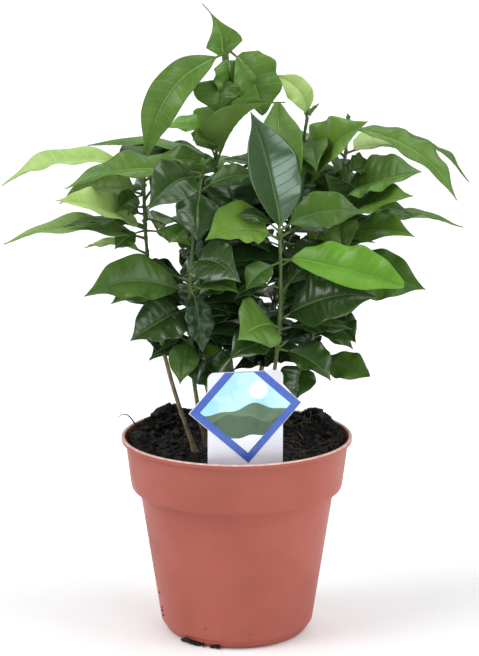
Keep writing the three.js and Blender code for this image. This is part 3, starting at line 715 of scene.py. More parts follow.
def stemPoint(seedling, z):
    z = np.asarray(z, float)
    start = soil["level"] + seatGap
    foot, bend, top = seedling["foot"], seedling["bend"], seedling["top"]
    first, second = bend[2] - start, start - 2 * bend[2] + top[2]
    climb = z - start
    t = climb / (first + np.sqrt(np.maximum(0, first * first + second * climb)))
    flat = [foot[i] * (1 - t) ** 2 + 2 * bend[i] * t * (1 - t) + top[i] * t * t for i in (0, 1)]
    return np.stack([*flat, z], axis=-1)


def stemRadius(seedling, z):
    climb = np.asarray(z, float) - soil["level"] - seatGap
    share = np.minimum(1, climb / (seedling["top"][2] - soil["level"]))
    taper = stem["footRadius"] + (stem["topRadius"] - stem["footRadius"]) * share
    return taper + stem["flare"] * np.exp(-np.maximum(climb, stem["flareFrom"]) / stem["flareHeight"])


def fillTries(at, side, draw, rule):
    tries = []
    for attempt in range(rule["tries"]):
        turn = math.radians(side + (2 * draw() - 1) * rule["turnSpread"])
        rise = math.radians(between(draw, rule["rise"]))
        long = between(draw, rule["long"])
        flat = long * math.cos(rise)
        reach = (flat * math.cos(turn), flat * math.sin(turn), long * math.sin(rise))
        wide = long * between(draw, rule["wideShare"])
        arch = long * between(draw, rule["arch"])
        tries.append(leafRow(at, reach, wide, arch, between(draw, rule["roll"]), "dark"))
    return tries


def leanTries(leaf):
    x, y, z = leaf["reach"]
    return [{**leaf, "reach": (x, y + lean, z)} for lean in leans]


# the places of the solids' corners, to look up which tries at a leaf grew there
def cornersOf(node):
    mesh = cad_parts[node].data
    corners = kdtree.KDTree(len(mesh.vertices))
    for vertex in mesh.vertices:
        corners.insert(vertex.co, vertex.index)
    corners.balance()
    return corners


def grownLeaf(seedling, tries, corners):
    for leaf in tries:
        tip = (stemPoint(seedling, leaf["at"]) + np.array(leaf["reach"])) * mm
        if corners.find(Vector(tip))[2] < tipSlack * mm:
            return [leaf]
    return []


# the deep and dark tints given low in the crown are partly painted shade
def fillTone(leaf, draw):
    depth = (leaf["at"] - depths["from"]) / depths["span"] + depths["spread"] * (draw() - 0.5)
    depth = depth + depths["behind"] * max(0, leaf["reach"][1])
    return "deep" if depth < depths["deep"] else "dark" if depth < depths["dark"] else "mid"


# a midrib runs from the stem to the tip, arched up from the straight line between
def leafCourse(root, leaf):
    reach = np.array(leaf["reach"], float)
    along = unit(reach)
    lift = unit(np.array([0.0, 0.0, 1.0]) - along * along[2])
    front = np.cross(along, lift)
    if front[1] > 0:
        front = -front
    roll = math.radians(leaf["roll"])
    face = lift * math.cos(roll) + front * math.sin(roll)

    def pointAt(t):
        t = np.asarray(t, float)[..., None]
        return root + reach * t + lift * leaf["arch"] * 4 * t * (1 - t)

    def frameAt(t):
        t = np.asarray(t, float)[..., None]
        run = unit(reach + lift * leaf["arch"] * 4 * (1 - 2 * t))
        side = unit(np.cross(run, face))
        return side, np.cross(side, run)

    return float(np.linalg.norm(reach)), pointAt, frameAt


def outlineAt(leaf, u):
    base, tip = leaf["shape"]
    peak = base / (base + tip)
    u = np.clip(u, 0, 1)
    return u ** base * (1 - u) ** tip / (peak ** base * (1 - peak) ** tip)


# small leaves between the larger ones, set one by one
smallLeaves = {
    "left": [
        (223, (-17, -8, -6), 13, 2, 30, "fresh"),
        (211, (-15, -10, -8), 12, 2, 30, "mid"),
        (211, (24, -10, -6), 13, 2, 25, "fresh"),
    ],
    "tall": [
        (302, (2.5, -4.5, -29), 24, 1, 0, "light", (0.4, 0.7)),
    ],
    "right": [
        (238, (15, 3, 3), 16, 2, 40, "mid"),
        (158, (20, -8, -8), 12, 2, 30, "dark"),
    ],
}

# finer leaves inside the crown, beyond those of the solids, where there is room among the rest
fine = {
    "seed": 733, "firstStep": 9, "step": 7, "turnSpread": 50, "tries": 14, "long": (20, 44),
    "wideShare": (0.42, 0.52), "rise": (-32, 30), "arch": (0.05, 0.14), "roll": (5, 60), "clear": 3.4,
    "front": -38, "along": (0.3, 0.4, 0.5, 0.6, 0.7, 0.8, 0.9, 1.0), "across": (-0.8, -0.4, 0.0, 0.4, 0.8),
}
# as seen from the eye point, they stay inside this ellipse and out of the gaps (x, z, radius) where sky shows
crown = {"away": 950, "eyeHeight": 358, "z": 200, "wide": 94, "high": 64, "back": 112}
skyGaps = [(-54, 203, 9), (-34, 200, 8), (-45, 231, 5), (-34, 219, 7), (1, 259, 9), (-20, 281, 12),
           (30, 271, 7), (68, 162, 9)]


# points all over a leaf, as a grid along and across it
def leafSamples(root, leaf):
    t, v = np.meshgrid(fine["along"], fine["across"], indexing="ij")
    pointAt, frameAt = leafCourse(root, leaf)[1:]
    side = frameAt(t)[0]
    return (pointAt(t) + side * (leaf["wide"] / 2 * outlineAt(leaf, t) * v)[..., None]).reshape(-1, 3)


def insideCrown(points):
    nearer = crown["away"] / (crown["away"] + points[:, 1])
    x, z = points[:, 0] * nearer, crown["eyeHeight"] + (points[:, 2] - crown["eyeHeight"]) * nearer
    if ((x / crown["wide"]) ** 2 + ((z - crown["z"]) / crown["high"]) ** 2).max() > 1:
        return False
    if points[:, 1].max() > crown["back"] or points[:, 1].min() < fine["front"]:
        return False
    return all(np.hypot(x - gx, z - gz).min() > reach for gx, gz, reach in skyGaps)


def hasRoom(points, taken):
    low, high = points.min(axis=0) - fine["clear"], points.max(axis=0) + fine["clear"]
    near = taken[((taken > low) & (taken < high)).all(axis=1)]
    if not len(near):
        return True
    return np.linalg.norm(points[:, None] - near[None], axis=2).min() > fine["clear"]


# places for leaves: pairs up the stem, each a right angle from the one below
def pairsUp(seedling, rule, side):
    at = seedling["bareTo"] + rule["firstStep"]
    while at < seedling["top"][2]:
        yield at, side
        yield at, side + 180
        side += quarterTurn
        at += rule["step"]


def addFineLeaves():
    draw, shade = seededDraws(fine["seed"]), seededDraws(fine["seed"] + 1)
    taken = []
    for seedling in seedlings:
        seedling["leaves"] += [leafRow(*row) for row in smallLeaves.get(seedling["name"], [])]
        taken += [leafSamples(stemPoint(seedling, leaf["at"]), leaf) for leaf in seedling["leaves"]]
    taken = np.concatenate(taken)
    for seedling in seedlings:
        for at, side in pairsUp(seedling, fine, seedling["spin"] + quarterTurn / 2):
            for leaf in fillTries(at, side, draw, fine):
                points = leafSamples(stemPoint(seedling, at), leaf)
                if insideCrown(points) and hasRoom(points, taken):
                    seedling["leaves"].append({**leaf, "tone": fillTone(leaf, shade)})
                    taken = np.concatenate([taken, points])
                    break


def dealLeaves():
    draw, shade = seededDraws(fill["seed"]), seededDraws(fill["seed"] + 1)
    for seedling in seedlings:
        corners = cornersOf("foliage_" + seedling["name"])
        grown = []
        for leaf in seedling["leaves"]:
            grown += grownLeaf(seedling, leanTries(leaf), corners)
        print("outline leaves of", seedling["name"], len(grown), "of", len(seedling["leaves"]))
        for at, side in pairsUp(seedling, fill, seedling["spin"]):
            filling = grownLeaf(seedling, fillTries(at, side, draw, fill), corners)
            grown += [{**leaf, "tone": fillTone(leaf, shade)} for leaf in filling]
        seedling["leaves"] = grown


dealLeaves()
addFineLeaves()
print("leaves dealt:", {s["name"]: len(s["leaves"]) for s in seedlings})


# leaf finishes: two tints of the blade for each tone, then the finishes of veins, midrib and under side
tones = {
    # pale and bright: lighter leaf tints, partly the young leaves' own colour and partly painted light, a
    # painted backlit glow and painted sheen
    "pale": ((0.40, 0.55, 0.17), (0.29, 0.46, 0.11), "veinPale", "veinPale", "underLight"),
    "bright": ((0.21, 0.335, 0.085), (0.16, 0.28, 0.06), "veinBright", "veinBright", "underLight"),
    "young": ((0.128, 0.30, 0.023), (0.098, 0.25, 0.019), "veinYoung", "ribLight", "underLight"),
    "fresh": ((0.140, 0.262, 0.034), (0.102, 0.218, 0.026), "veinLight", "ribLight", "underLight"),
    "light": ((0.098, 0.196, 0.026), (0.070, 0.156, 0.020), "veinLight", "ribLight", "underLight"),
    "mid": ((0.062, 0.132, 0.018), (0.044, 0.102, 0.014), "veinMid", "ribMid", "underMid"),
    "dark": ((0.028, 0.068, 0.011), (0.020, 0.052, 0.009), "veinDark", "ribMid", "underMid"),
    # deep: the darkest tint, partly old leaves' own colour and partly painted shade for leaves inside the
    # crown; veinDeep, ribDark and underDark go with it
    "deep": ((0.015, 0.041, 0.008), (0.010, 0.030, 0.007), "veinDeep", "ribDark", "underDark"),
    "shiny": ((0.028, 0.066, 0.015), (0.021, 0.052, 0.012), "veinDark", "ribMid", "underMid"),
    # mottled: a dark blade with small pale grey-green patches, a silvery pattern between the veins together
    # with painted spotted sheen
    "mottled": ((0.014, 0.038, 0.012), (0.085, 0.13, 0.075), "veinDeep", "ribMid", "underDark"),
}
otherTints = {
    "veinPale": ((0.45, 0.60, 0.21), (0.36, 0.52, 0.16)),
    "veinBright": ((0.25, 0.385, 0.115), (0.2, 0.33, 0.085)),
    "veinYoung": ((0.14, 0.31, 0.034), (0.11, 0.26, 0.026)),
    "veinLight": ((0.120, 0.235, 0.036), (0.092, 0.195, 0.028)),
    "veinMid": ((0.074, 0.152, 0.025), (0.056, 0.122, 0.02)),
    "veinDark": ((0.036, 0.083, 0.016), (0.027, 0.065, 0.013)),
    "veinDeep": ((0.020, 0.052, 0.012), (0.014, 0.039, 0.009)),
    "ribLight": ((0.22, 0.36, 0.07), (0.17, 0.30, 0.055)),
    "ribMid": ((0.105, 0.20, 0.045), (0.08, 0.16, 0.035)),
    "ribDark": ((0.05, 0.105, 0.028), (0.037, 0.08, 0.022)),
    "underLight": ((0.165, 0.285, 0.06), (0.13, 0.235, 0.048)),
    "underMid": ((0.078, 0.155, 0.034), (0.06, 0.125, 0.028)),
    "underDark": ((0.036, 0.08, 0.02), (0.027, 0.064, 0.017)),
}
leafLook = {"patch": 75.0, "grain": 1900.0, "rough": (0.28, 0.38), "bump": 0.16, "specular": 0.22,
            "coat": 0.08, "coatRough": 0.18}
oldLook = {"rough": (0.22, 0.3), "specular": 0.42, "coat": 0.3}  # old leaves shine more, and one most of all
ownLooks = {
    "dark": oldLook, "deep": oldLook, "mottled": {"patch": 420.0},
    "shiny": {**oldLook, "specular": 0.6, "coat": 0.65, "shine": (0.65, 1.0, 0.84)},
}
veinLook = {"patch": 90.0, "grain": 1900.0, "rough": (0.32, 0.4), "bump": 0.15, "specular": 0.28}
underLook = {**veinLook, "rough": (0.5, 0.6), "specular": 0.25}
leafFinishes = {}
for name, tone in tones.items():
    look = {**leafLook, **ownLooks.get(name, {}), "base": tone[0], "tint": tone[1]}
    leafFinishes[name] = makeFinish("leaf_" + name, look)
for name, (base, tint) in otherTints.items():
    look = {**(underLook if name.startswith("under") else veinLook), "base": base, "tint": tint}
    leafFinishes[name] = makeFinish("leaf_" + name, look)
leafSlots = {name: i for i, name in enumerate(leafFinishes)}

# the blade: folded along its midrib, quilted between the veins, with a wavy margin and a drip tip
# lengths in mm; shares run from the foot to the tip, and across from the midrib to the margin
blade = {
    "stalk": 6, "mostStalk": 0.3, "foldSpread": 6, "twist": 14, "twistFrom": 0.1, "bow": 0.2, "uneven": 0.09,
    "sway": 0.035, "swayFull": 0.3, "curl": (-0.01, 0.06), "curlFrom": 0.55, "drip": 0.34,
    "dripOver": (0.7, 0.93), "footHalf": 0.7, "footEnd": 0.06, "leastHalf": 0.3, "seed": 9055,
    "veinGap": 5.6, "veins": (5, 11), "veinsFrom": 0.03, "veinsOver": 0.9, "veinHalf": 0.2, "veinShare": 0.12,
    "slant": 0.15, "slantFull": 0.22, "slantPower": 1.25, "footRow": 0.012, "tipRows": (0.97, 0.985, 1.0),
    "ribHalf": 0.4, "ribTaper": (1.15, 0.8), "ribLeast": 0.4, "ribShare": (0.02, 0.13),
    "groove": 0.16, "grooveEnd": 0.1,
    "quilt": (0.08, 0.34), "quiltWide": 24, "swell": (0.4, 0.9), "quiltFull": 0.2, "quiltFade": 0.75,
    "quiltEdge": 0.72, "quiltHalf": 4.0,
    "wave": (0.05, 0.17), "waves": (1.4, 4.2), "wavePower": 2.2, "waveFull": 0.15,
    "thick": 0.34, "edgeThin": 0.55, "ribProud": 0.5, "ribWide": 0.55, "ribFade": 0.7,
    "veinProud": 0.16, "veinPower": 6, "veinWide": 3.0,
    "across": (0.16, 0.33, 0.5, 0.66, 0.8, 0.91, 1.0), "between": (0.18, 0.5, 0.82),
}


# rows along the veins: a narrow strip for each vein and a few rows between, each with its swell
def bladeRows(run, count, draw):
    gap = blade["veinsOver"] / count
    strip = min(blade["veinHalf"] / run, blade["veinShare"] * gap)
    rows, veinRow, bulge = [0.0, blade["footRow"]], [False], [0.0, 0.0]
    least, more = blade["swell"]
    swells = [least + more * draw() for k in range(count - 1)] + [least]
    for k in range(count):
        at = blade["veinsFrom"] + gap * (k + 0.5)
        rows += [at - strip, at + strip]
        veinRow += [False, True]
        bulge += [0.0, 0.0]
        for share in blade["between"]:
            rows.append(at + strip + (gap - 2 * strip) * share)
            veinRow.append(False)
            bulge.append(math.sin(math.pi * share) * swells[k])
    rows = np.array(rows + list(blade["tipRows"]))
    bulge = np.array(bulge + [0.0] * len(blade["tipRows"]))
    veinRow = np.array(veinRow + [False] * len(blade["tipRows"]))
    order = np.argsort(rows, kind="stable")
    return rows[order][:, None], bulge[order][:, None], veinRow[:len(rows) - 1]


def addBlade(skin, root, leaf, draw):
    long, pointAt, frameAt = leafCourse(root, leaf)
    stalkEnd = min(blade["mostStalk"], blade["stalk"] / long)
    run = long * (1 - stalkEnd)
    count = int(np.clip(round(run / blade["veinGap"]), *blade["veins"]))
    fold = math.radians(leaf["fold"] + (2 * draw() - 1) * blade["foldSpread"])
    twist = math.radians(blade["twist"] * (2 * draw() - 1))
    waves = np.array([between(draw, blade["waves"]) for half in range(2)])
    phase = fullTurn * np.array([draw(), draw()])
    waveTall = np.array([leaf["ripple"] * between(draw, blade["wave"]) for half in range(2)])
    quilt = leaf["ripple"] * between(draw, blade["quilt"]) * min(1, leaf["wide"] / blade["quiltWide"])
    uneven = blade["uneven"] * (2 * draw() - 1)
    sway = blade["sway"] * long * (2 * draw() - 1)
    curl = between(draw, blade["curl"]) * long
    s, bulge, veined = bladeRows(run, count, draw)

    # places along and across: u along the blade, v across it, and half its width there
    outer = np.array(blade["across"])
    atRib = (leaf["wide"] / 2) * outlineAt(leaf, s)
    taper, thinner = blade["ribTaper"]
    rib = np.clip(blade["ribHalf"] * (taper - thinner * s) / np.maximum(atRib, blade["ribLeast"]),
                  *blade["ribShare"])
    v = np.concatenate([np.broadcast_to(-outer[::-1], (len(s), len(outer))), -rib, 0 * rib, rib,
                        np.broadcast_to(outer, (len(s), len(outer)))], axis=1)
    size = np.abs(v)
    slope = smooth(0.0, blade["slantFull"], s) * (1 - s)
    u = np.clip(s + blade["slant"] * slope * size ** blade["slantPower"], 0, 1)
    wide = (leaf["wide"] / 2) * outlineAt(leaf, u) * (1 - blade["drip"] * smooth(*blade["dripOver"], u))
    wide = wide * (1 + uneven * np.sign(v))
    wide = np.maximum(wide, blade["footHalf"] * (1 - smooth(0.0, blade["footEnd"], u)) + blade["leastHalf"])
    t = stalkEnd + (1 - stalkEnd) * u
    side, out = frameAt(t)
    turn = (twist * smooth(blade["twistFrom"], 1.0, u))[..., None]
    side, out = side * np.cos(turn) + out * np.sin(turn), out * np.cos(turn) - side * np.sin(turn)
    # height over the flat blade: fold and bow, wavy margin, quilting, groove of the midrib, curled tip
    half = (v > 0).astype(int)
    ripple = np.sin(fullTurn * waves[half] * u + phase[half]) * waveTall[half]
    inside = smooth(0.0, blade["quiltFull"], size) * (
        1 - blade["quiltFade"] * smooth(blade["quiltEdge"], 1.0, size))
    above = wide * (math.sin(fold) * size + leaf["ripple"] * blade["bow"] * size * (1 - size))
    above = above + wide * ripple * size ** blade["wavePower"] * smooth(0.0, blade["waveFull"], u)
    above = above + quilt * bulge * inside * smooth(0.0, blade["quiltHalf"], wide)
    above = above - np.where(size < tiny, blade["groove"], 0.0) * smooth(0.0, blade["grooveEnd"], 1 - u)
    above = above - curl * smooth(blade["curlFrom"], 1.0, u) ** 2
    middle = pointAt(t) + side * (sway * np.sin(math.pi * u) * smooth(0.0, blade["swayFull"], u))[..., None]
    top = middle + side * (wide * math.cos(fold) * v)[..., None] + out * above[..., None]
    # the under side, with the midrib and veins standing out a little
    keel = np.exp(-(size * wide / blade["ribWide"]) ** 2) * (1 - blade["ribFade"] * u)
    thick = blade["thick"] * (1 - blade["edgeThin"] * size) + blade["ribProud"] * keel
    veins = (1 - bulge) ** blade["veinPower"] * (1 - size) * smooth(0.0, blade["veinWide"], wide)
    thick = thick + blade["veinProud"] * veins
    under = top - out * thick[..., None]

    columns = v.shape[1]
    ring = np.concatenate([top, under[:, ::-1]], axis=1)
    faces = ringFaces(len(s), 2 * columns)
    veinSlot, ribSlot, underSlot = [leafSlots[part] for part in tones[leaf["tone"]][2:]]
    slots = np.full((len(s) - 1, 2 * columns), leafSlots[leaf["tone"]])
    slots[:, columns:] = underSlot
    slots[veined, 1:columns - 2] = veinSlot
    for start in (columns // 2 - 1, columns + columns // 2 - 1):
        slots[:, start:start + 2] = ribSlot
    ends = np.full(len(faces) - slots.size, underSlot)
    addTo(skin, ring.reshape(-1, 3), faces, np.concatenate([slots.ravel(), ends]))


# a pair of small leaves still closed at each tip
bud = {"lean": (0.6, 1.5), "rise": (3.5, 6.0), "wide": 2.4, "arch": 0.4, "roll": 70, "sunk": 1.5}


def budLeaves(seedling, draw):
    turn, at = fullTurn * draw(), seedling["top"][2] + stem["bud"] - bud["sunk"]
    made = []
    for half in (0, math.pi):
        lean = between(draw, bud["lean"])
        reach = (lean * math.cos(turn + half), lean * math.sin(turn + half), between(draw, bud["rise"]))
        made.append(leafRow(at, reach, bud["wide"], bud["arch"], bud["roll"], "light"))
    return made


# each plant in turn, with draws and a skin of its own
def eachSeedling(seed):
    for number, seedling in enumerate(seedlings):
        yield seedling, seededDraws(seed + number), newSkin()


def growLeaves():
    for seedling, draw, skin in eachSeedling(blade["seed"]):
        for leaf in seedling["leaves"] + budLeaves(seedling, draw):
            addBlade(skin, stemPoint(seedling, leaf["at"]), leaf, draw)
        name = seedling["name"]
        piece = pieceFrom("leaves_" + name, skin, list(leafFinishes.values()), ["foliage_" + name])
        print("leaves of", name, len(piece.data.polygons) * 2, "triangles")


growLeaves()


# twigs: the green upper stem with swollen nodes, leaf stalks, and the little scales between them
twig = {
    "ringStep": 1.4, "sides": 12, "overlap": 0.6, "nodeSwell": 0.22, "nodeWide": 1.4, "tipLong": 2.5,
    "tipShare": 0.25, "stalkRadius": (0.8, 0.5), "stalkSteps": 9, "stalkSides": 8, "stalkOver": 1.3,
    "stalkEnd": (0.75, 0.4), "stalkSunk": 0.35, "stalkWide": 16, "scaleLong": 2.2, "scaleRadius": 0.4,
    "scaleTip": 0.05, "scalePower": 0.8, "scaleOff": 0.1, "scaleLean": 0.7, "scaleSteps": 5, "scaleSides": 6,
    "seed": 312,
}
greenStemFinish = makeFinish("greenStem", {
    "base": (0.11, 0.165, 0.045), "tint": (0.075, 0.12, 0.035), "patch": 160.0, "grain": 1800.0,
    "rough": (0.46, 0.6), "bump": 0.25, "specular": 0.35,
})
stalkFinish = makeFinish("leafStalk", {
    "base": (0.105, 0.17, 0.04), "tint": (0.075, 0.13, 0.03), "patch": 220.0, "grain": 2000.0,
    "rough": (0.42, 0.55), "bump": 0.2, "bumpDepth": 0.0002, "specular": 0.35,
})


def addStalk(skin, seedling, leaf, draw):
    root = stemPoint(seedling, leaf["at"])
    long, pointAt, frameAt = leafCourse(root, leaf)
    t = np.linspace(0, min(blade["mostStalk"], blade["stalk"] / long) * twig["stalkOver"], twig["stalkSteps"])
    thick = np.linspace(*twig["stalkRadius"], twig["stalkSteps"]) * min(1.0, leaf["wide"] / twig["stalkWide"])
    thick[-2:] *= twig["stalkEnd"]
    tubeSkin(skin, pointAt(t) - frameAt(t)[1] * twig["stalkSunk"], thick, twig["stalkSides"], 1)
    # a scale stands on one side of the node, across from the stalk
    flat = np.array([leaf["reach"][1], -leaf["reach"][0], 0.0])
    flat = flat / max(tiny, np.linalg.norm(flat)) * (1 if draw() < 0.5 else -1)
    base = root + flat * (float(stemRadius(seedling, leaf["at"])) + twig["scaleOff"])
    rise = np.linspace(0, 1, twig["scaleSteps"])
    path = base + rise[:, None] * (np.array([0, 0, twig["scaleLong"]]) + flat * twig["scaleLean"])
    thick = twig["scaleRadius"] * (1 - rise) ** twig["scalePower"] + twig["scaleTip"]
    tubeSkin(skin, path, thick, twig["scaleSides"], 0)


def growTwigs():
    for seedling, draw, skin in eachSeedling(twig["seed"]):
        low, high = seedling["bareTo"] - twig["overlap"], seedling["top"][2] + stem["bud"]
        z = np.linspace(low, high, int((high - low) / twig["ringStep"]))
        nodes = np.array([leaf["at"] for leaf in seedling["leaves"]])
        swell = np.exp(-((z[:, None] - nodes[None]) / twig["nodeWide"]) ** 2).max(axis=1)
        radius = bark["slim"] * stemRadius(seedling, z) + twig["nodeSwell"] * swell
        radius = radius * np.clip((high - z) / twig["tipLong"] + twig["tipShare"], 0, 1)
        tubeSkin(skin, stemPoint(seedling, z), radius, twig["sides"], 0)
        for leaf in seedling["leaves"]:
            addStalk(skin, seedling, leaf, draw)
        pieceFrom("twigs_" + seedling["name"], skin, [greenStemFinish, stalkFinish])


# bare stems: thin bark with ridges, rings where old leaves stood, brown below and greener above
bark = {
    "ringStep": 0.9, "sides": 22, "slim": 0.86, "sunk": 3.0, "overlap": 0.2, "seed": 640,
    "ridge": 0.13, "ridgeAround": 2.2, "ridgeUp": 0.12, "ridgeNoise": (0.9, 2.0, 4), "noiseSpan": 50,
    "scarFrom": 12, "scarSpread": 10, "scarStep": 21, "scarClear": 4, "scarSwell": 0.28, "scarWide": 1.3,
    "scarRing": 0.45, "scarPair": 0.55, "ragged": 0.5, "oliveFrom": 0.45,
}
barkFinishes = [
    makeFinish("barkBrown", {
        "base": (0.25, 0.20, 0.11), "tint": (0.15, 0.115, 0.065), "patch": 260.0, "grain": 1500.0,
        "rough": (0.62, 0.8), "bump": 0.5, "bumpDepth": 0.0004, "specular": 0.35,
    }),
    makeFinish("barkOlive", {
        "base": (0.30, 0.27, 0.12), "tint": (0.19, 0.17, 0.075), "patch": 240.0, "grain": 1500.0,
        "rough": (0.55, 0.72), "bump": 0.4, "specular": 0.4,
    }),
    greenStemFinish,
]


def barkRidge(angle, height):
    around = bark["ridgeAround"]
    spot = Vector((around * math.cos(angle), around * math.sin(angle), height))
    return noise.fractal(spot, *bark["ridgeNoise"])


def growBark():
    for seedling, draw, skin in eachSeedling(bark["seed"]):
        low, high = soil["level"] + seatGap - bark["sunk"], seedling["bareTo"] + bark["overlap"]
        rings = int((high - low) / bark["ringStep"])
        z = np.linspace(low, high, rings)
        turn = np.linspace(0, fullTurn, bark["sides"], endpoint=False)
        shift = bark["noiseSpan"] * draw()
        ridge = np.array([[barkRidge(a, h * bark["ridgeUp"] + shift) for a in turn] for h in z])
        radius = bark["slim"] * stemRadius(seedling, z)[:, None] * (1 + bark["ridge"] * ridge)
        first = soil["level"] + bark["scarFrom"] + bark["scarSpread"] * draw()
        quarter = 0.0
        for scar in np.arange(first, high - bark["scarClear"], bark["scarStep"]):
            ring = np.exp(-((z - scar) / bark["scarWide"]) ** 2)[:, None]
            pair = bark["scarRing"] + bark["scarPair"] * np.abs(np.cos(turn - quarter))[None] ** 3
            radius = radius + bark["scarSwell"] * ring * pair
            quarter += math.pi / 2
        middle = stemPoint(seedling, z)[:, None]
        points = np.stack([middle[..., 0] + radius * np.cos(turn), middle[..., 1] + radius * np.sin(turn),
                           np.broadcast_to(middle[..., 2], radius.shape)], axis=-1)
        faces = ringFaces(rings, bark["sides"])
        # the tints change over in ragged patches on the way up
        share = ((z - soil["level"]) / (seedling["bareTo"] - soil["level"]))[:, None] + bark["ragged"] * ridge
        slots = np.where(share < bark["oliveFrom"], 0, np.where(share < 1.0, 1, 2))[:-1]
        ends = np.zeros(len(faces) - slots.size, int)
        addTo(skin, points, faces, np.concatenate([slots.ravel(), ends]))
        pieceFrom("bark_" + seedling["name"], skin, barkFinishes, ["stem_" + seedling["name"]])


growTwigs()
growBark()
print("twigs and bark grown")


# the plant label: a rounded card with a diamond panel and a plain landscape print
label = {
    "x": 4.3, "y": -48, "yaw": 12, "width": 38, "top": 148.5, "foot": 81.5, "corner": 3.5, "thick": 0.6,
    "cornerSteps": 8, "bevel": 0.09, "bevelFrom": 0.9, "bevelSteps": 2, "bevelRound": 0.6,
    "diamondHeight": 130, "diamondReach": 28.5, "diamondTilt": 3, "diamondProud": 0.08, "topSpare": 0.4,
    "edge": 0.25, "border": 4.0, "layer": 0.05, "layerSunk": 0.02,
    "sheet": [(-60, -20), (60, -20), (60, 90), (-60, 90)],
    "sun": (6.5, 9.0, 4.6), "sunSides": 40,  # place from the middle of the diamond, and radius
    # height from the middle, swell, waves, phase and ink of each stretch of land
    "land": [(-0.5, 2.2, 1.5, 0.8, 3), (-5.0, 1.8, 1.9, 2.6, 2), (-14.5, 0.8, 2.6, 0.2, 4)],
    "landHalf": 40.0, "landSteps": 48, "landLong": 10, "landShort": 4, "landSmall": 0.4,
}
cardFinish = makeFinish("labelCard", {
    "base": (0.80, 0.80, 0.87), "tint": (0.74, 0.74, 0.82), "patch": 45.0, "grain": 3000.0,
    "rough": (0.26, 0.36), "bump": 0.05, "coat": 0.3, "coatRough": 0.12,
    "dust": (0.42, 0.38, 0.36), "dustAmount": 0.1, "speck": 600.0,
})
printTints = {
    "skyPrint": ((0.36, 0.74, 0.86), (0.62, 0.9, 0.97)),
    "bluePrint": ((0.035, 0.10, 0.46), (0.045, 0.125, 0.52)),
    "greenPrint": ((0.03, 0.07, 0.035), (0.06, 0.125, 0.06)),
    "leafPrint": ((0.07, 0.14, 0.07), (0.12, 0.21, 0.11)),
    "whitePrint": ((0.90, 0.92, 0.95), (0.84, 0.87, 0.92)),
}
printFinishes = [makeFinish(name, {
    "base": pair[0], "tint": pair[1], "patch": 70.0, "grain": 3000.0, "rough": (0.24, 0.34), "bump": 0.04,
    "coat": 0.35, "coatRough": 0.1,
}) for name, pair in printTints.items()]


# a flat shape in the label's plane, given as a closed run of points, becomes a thin plate between two depths
def addPlate(mesh, outline, near, far, slot):
    turn = math.radians(label["yaw"])
    front, back = [], []
    for x, y in outline:
        for depth, side in ((near, front), (far, back)):
            px = label["x"] + x * math.cos(turn) + depth * math.sin(turn)
            py = label["y"] + x * math.sin(turn) - depth * math.cos(turn)
            side.append(mesh.verts.new(Vector((px, py, label["foot"] + y)) * mm))
    faces = [mesh.faces.new(front), mesh.faces.new(back[::-1])]
    for k in range(len(outline)):
        after = (k + 1) % len(outline)
        faces.append(mesh.faces.new((front[k], back[k], back[after], front[after])))
    for face in faces:
        face.material_index = slot


def cardOutline():
    half, rise, corner = label["width"] / 2, label["top"] - label["foot"], label["corner"]
    points = [(-half, 0), (half, 0)]
    for x, start in ((half - corner, 0), (corner - half, 90)):
        for step in range(label["cornerSteps"] + 1):
            a = math.radians(start + 90 * step / label["cornerSteps"])
            points.append((x + corner * math.cos(a), rise - corner + corner * math.sin(a)))
    return points


# clips a run of points to one side of the line where a*x + b*y = c
def clipped(points, a, b, c):
    kept = []
    for (x0, y0), (x1, y1) in zip(points, points[1:] + points[:1]):
        d0, d1 = a * x0 + b * y0 - c, a * x1 + b * y1 - c
        if d0 <= 0:
            kept.append((x0, y0))
        if d0 * d1 < 0:
            s = d0 / (d0 - d1)
            kept.append((x0 + s * (x1 - x0), y0 + s * (y1 - y0)))
    return kept


def insideDiamond(points, inset):
    middle, reach = label["diamondHeight"] - label["foot"], label["diamondReach"] - inset * math.sqrt(2)
    for k in range(4):
        a = math.radians(label["diamondTilt"] + 45 + 90 * k)
        points = clipped(points, math.cos(a), math.sin(a), reach / math.sqrt(2) + middle * math.sin(a))
    return clipped(points, 0, 1, label["top"] - label["foot"] - min(inset, label["topSpare"]))


def wavyLand(height, swell, waves, phase):
    half, steps = label["landHalf"], label["landSteps"]
    points = [(-half, -half), (half, -half)]
    for k in range(steps + 1):
        x = half - 2 * half * k / steps
        large = swell * math.sin(waves * x / label["landLong"] + phase)
        small = label["landSmall"] * swell * math.sin(waves * x / label["landShort"])
        points.append((x, height + large + small))
    return points


def disc(x, y, radius, sides):
    turns = [fullTurn * k / sides for k in range(sides)]
    return [(x + radius * math.cos(turn), y + radius * math.sin(turn)) for turn in turns]


def finishLabel(name, made, finishes, stands=()):
    mesh = bpy.data.meshes.new(name)
    made.to_mesh(mesh)
    made.free()
    placePiece(name, mesh, finishes, stands)


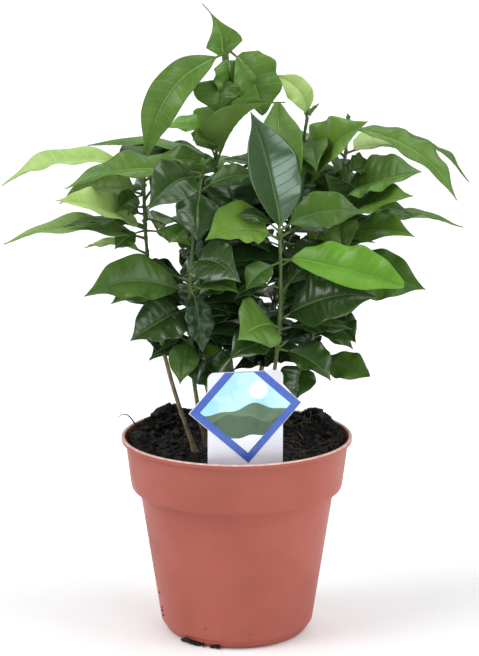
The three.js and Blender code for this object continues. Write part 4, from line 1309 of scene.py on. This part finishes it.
def makeLabel():
    half = label["thick"] / 2
    proud = half + label["diamondProud"]
    card = bmesh.new()
    addPlate(card, cardOutline(), half, -half, 0)
    addPlate(card, insideDiamond(label["sheet"], 0), proud, -proud, 0)
    bmesh.ops.recalc_face_normals(card, faces=card.faces)
    edges = [e for e in card.edges if e.calc_face_angle(0) > label["bevelFrom"]]
    bmesh.ops.bevel(card, geom=edges, offset=label["bevel"] * mm, segments=label["bevelSteps"],
                    profile=label["bevelRound"], affect="EDGES")
    finishLabel("label_card", card, [cardFinish], ["plant_label"])

    # inks one over the other: blue border, sky, sun and land
    middle = label["diamondHeight"] - label["foot"]
    x, y, radius = label["sun"]
    inks = [
        (insideDiamond(label["sheet"], label["edge"]), 1),
        (insideDiamond(label["sheet"], label["border"]), 0),
        (disc(x, middle + y, radius, label["sunSides"]), 4),
    ]
    for height, swell, waves, phase, slot in label["land"]:
        inks.append((insideDiamond(wavyLand(middle + height, swell, waves, phase), label["border"]), slot))
    ink = bmesh.new()
    level = proud
    for points, slot in inks:
        addPlate(ink, points, level + label["layer"], level - label["layerSunk"], slot)
        level += label["layer"]
    bmesh.ops.recalc_face_normals(ink, faces=ink.faces)
    finishLabel("label_print", ink, printFinishes)


makeLabel()
print("label stuck in")


# pale floor, soft light from all round, wide lamps from both sides, and the camera of the photograph
studio = {"floorSize": 60.0, "floorDrop": 0.0002, "floor": (0.955, 0.957, 0.96), "floorTint": 0.985,
          "world": (0.95, 0.975, 1.0), "worldStrength": 0.29}
lamps = [
    # name, degrees round from the front to the right, degrees up, strength, degrees wide, colour
    ("leftLamp", -72, 44, 2.0, 44, (1.0, 1.0, 1.0)),
    ("rightLamp", 75, 46, 1.45, 46, (1.0, 1.0, 1.0)),
    ("frontLamp", 34, 17, 0.8, 26, (0.92, 0.97, 1.0)),
    ("backLamp", 175, 62, 0.9, 60, (0.97, 0.99, 1.0)),
]
view = {"place": (0.00139, -0.950, 0.358), "down": 11.76, "lens": 103.5, "sensor": 36.0, "farthest": 100.0}


def makeStudio():
    mesh = bpy.data.meshes.new("floor")
    half = studio["floorSize"] / 2
    corners = [(-half, -half, 0), (half, -half, 0), (half, half, 0), (-half, half, 0)]
    mesh.from_pydata(corners, [], [(0, 1, 2, 3)])
    floor = addObject("floor", mesh)
    floor.location.z = -studio["floorDrop"]
    paper = studio["floor"]
    mesh.materials.append(makeFinish("floorPaper", {
        "base": paper, "tint": tuple(studio["floorTint"] * c for c in paper), "patch": 1.2, "grain": 300.0,
        "rough": (0.75, 0.85), "bump": 0.02, "specular": 0.2,
    }))
    world = bpy.data.worlds.new("softRoom")
    world.use_nodes = True
    back = world.node_tree.nodes["Background"]
    back.inputs["Color"].default_value = (*studio["world"], 1)
    back.inputs["Strength"].default_value = studio["worldStrength"]
    scene.world = world
    for name, azimuth, up, strength, wide, colour in lamps:
        lamp = bpy.data.lights.new(name, "SUN")
        lamp.energy = strength
        lamp.angle = math.radians(wide)
        lamp.color = colour
        sun = addObject(name, lamp)
        sun.rotation_euler = (math.radians(90 - up), 0, math.radians(azimuth))
    eye = bpy.data.cameras.new("photoCamera")
    eye.lens = view["lens"]
    eye.sensor_width = view["sensor"]
    eye.clip_end = view["farthest"]
    camera = addObject("photoCamera", eye)
    camera.location = view["place"]
    camera.rotation_euler = (math.radians(90 - view["down"]), 0, 0)
    scene.camera = camera
    scene.view_settings.view_transform = "Standard"


makeStudio()
print("studio lit")
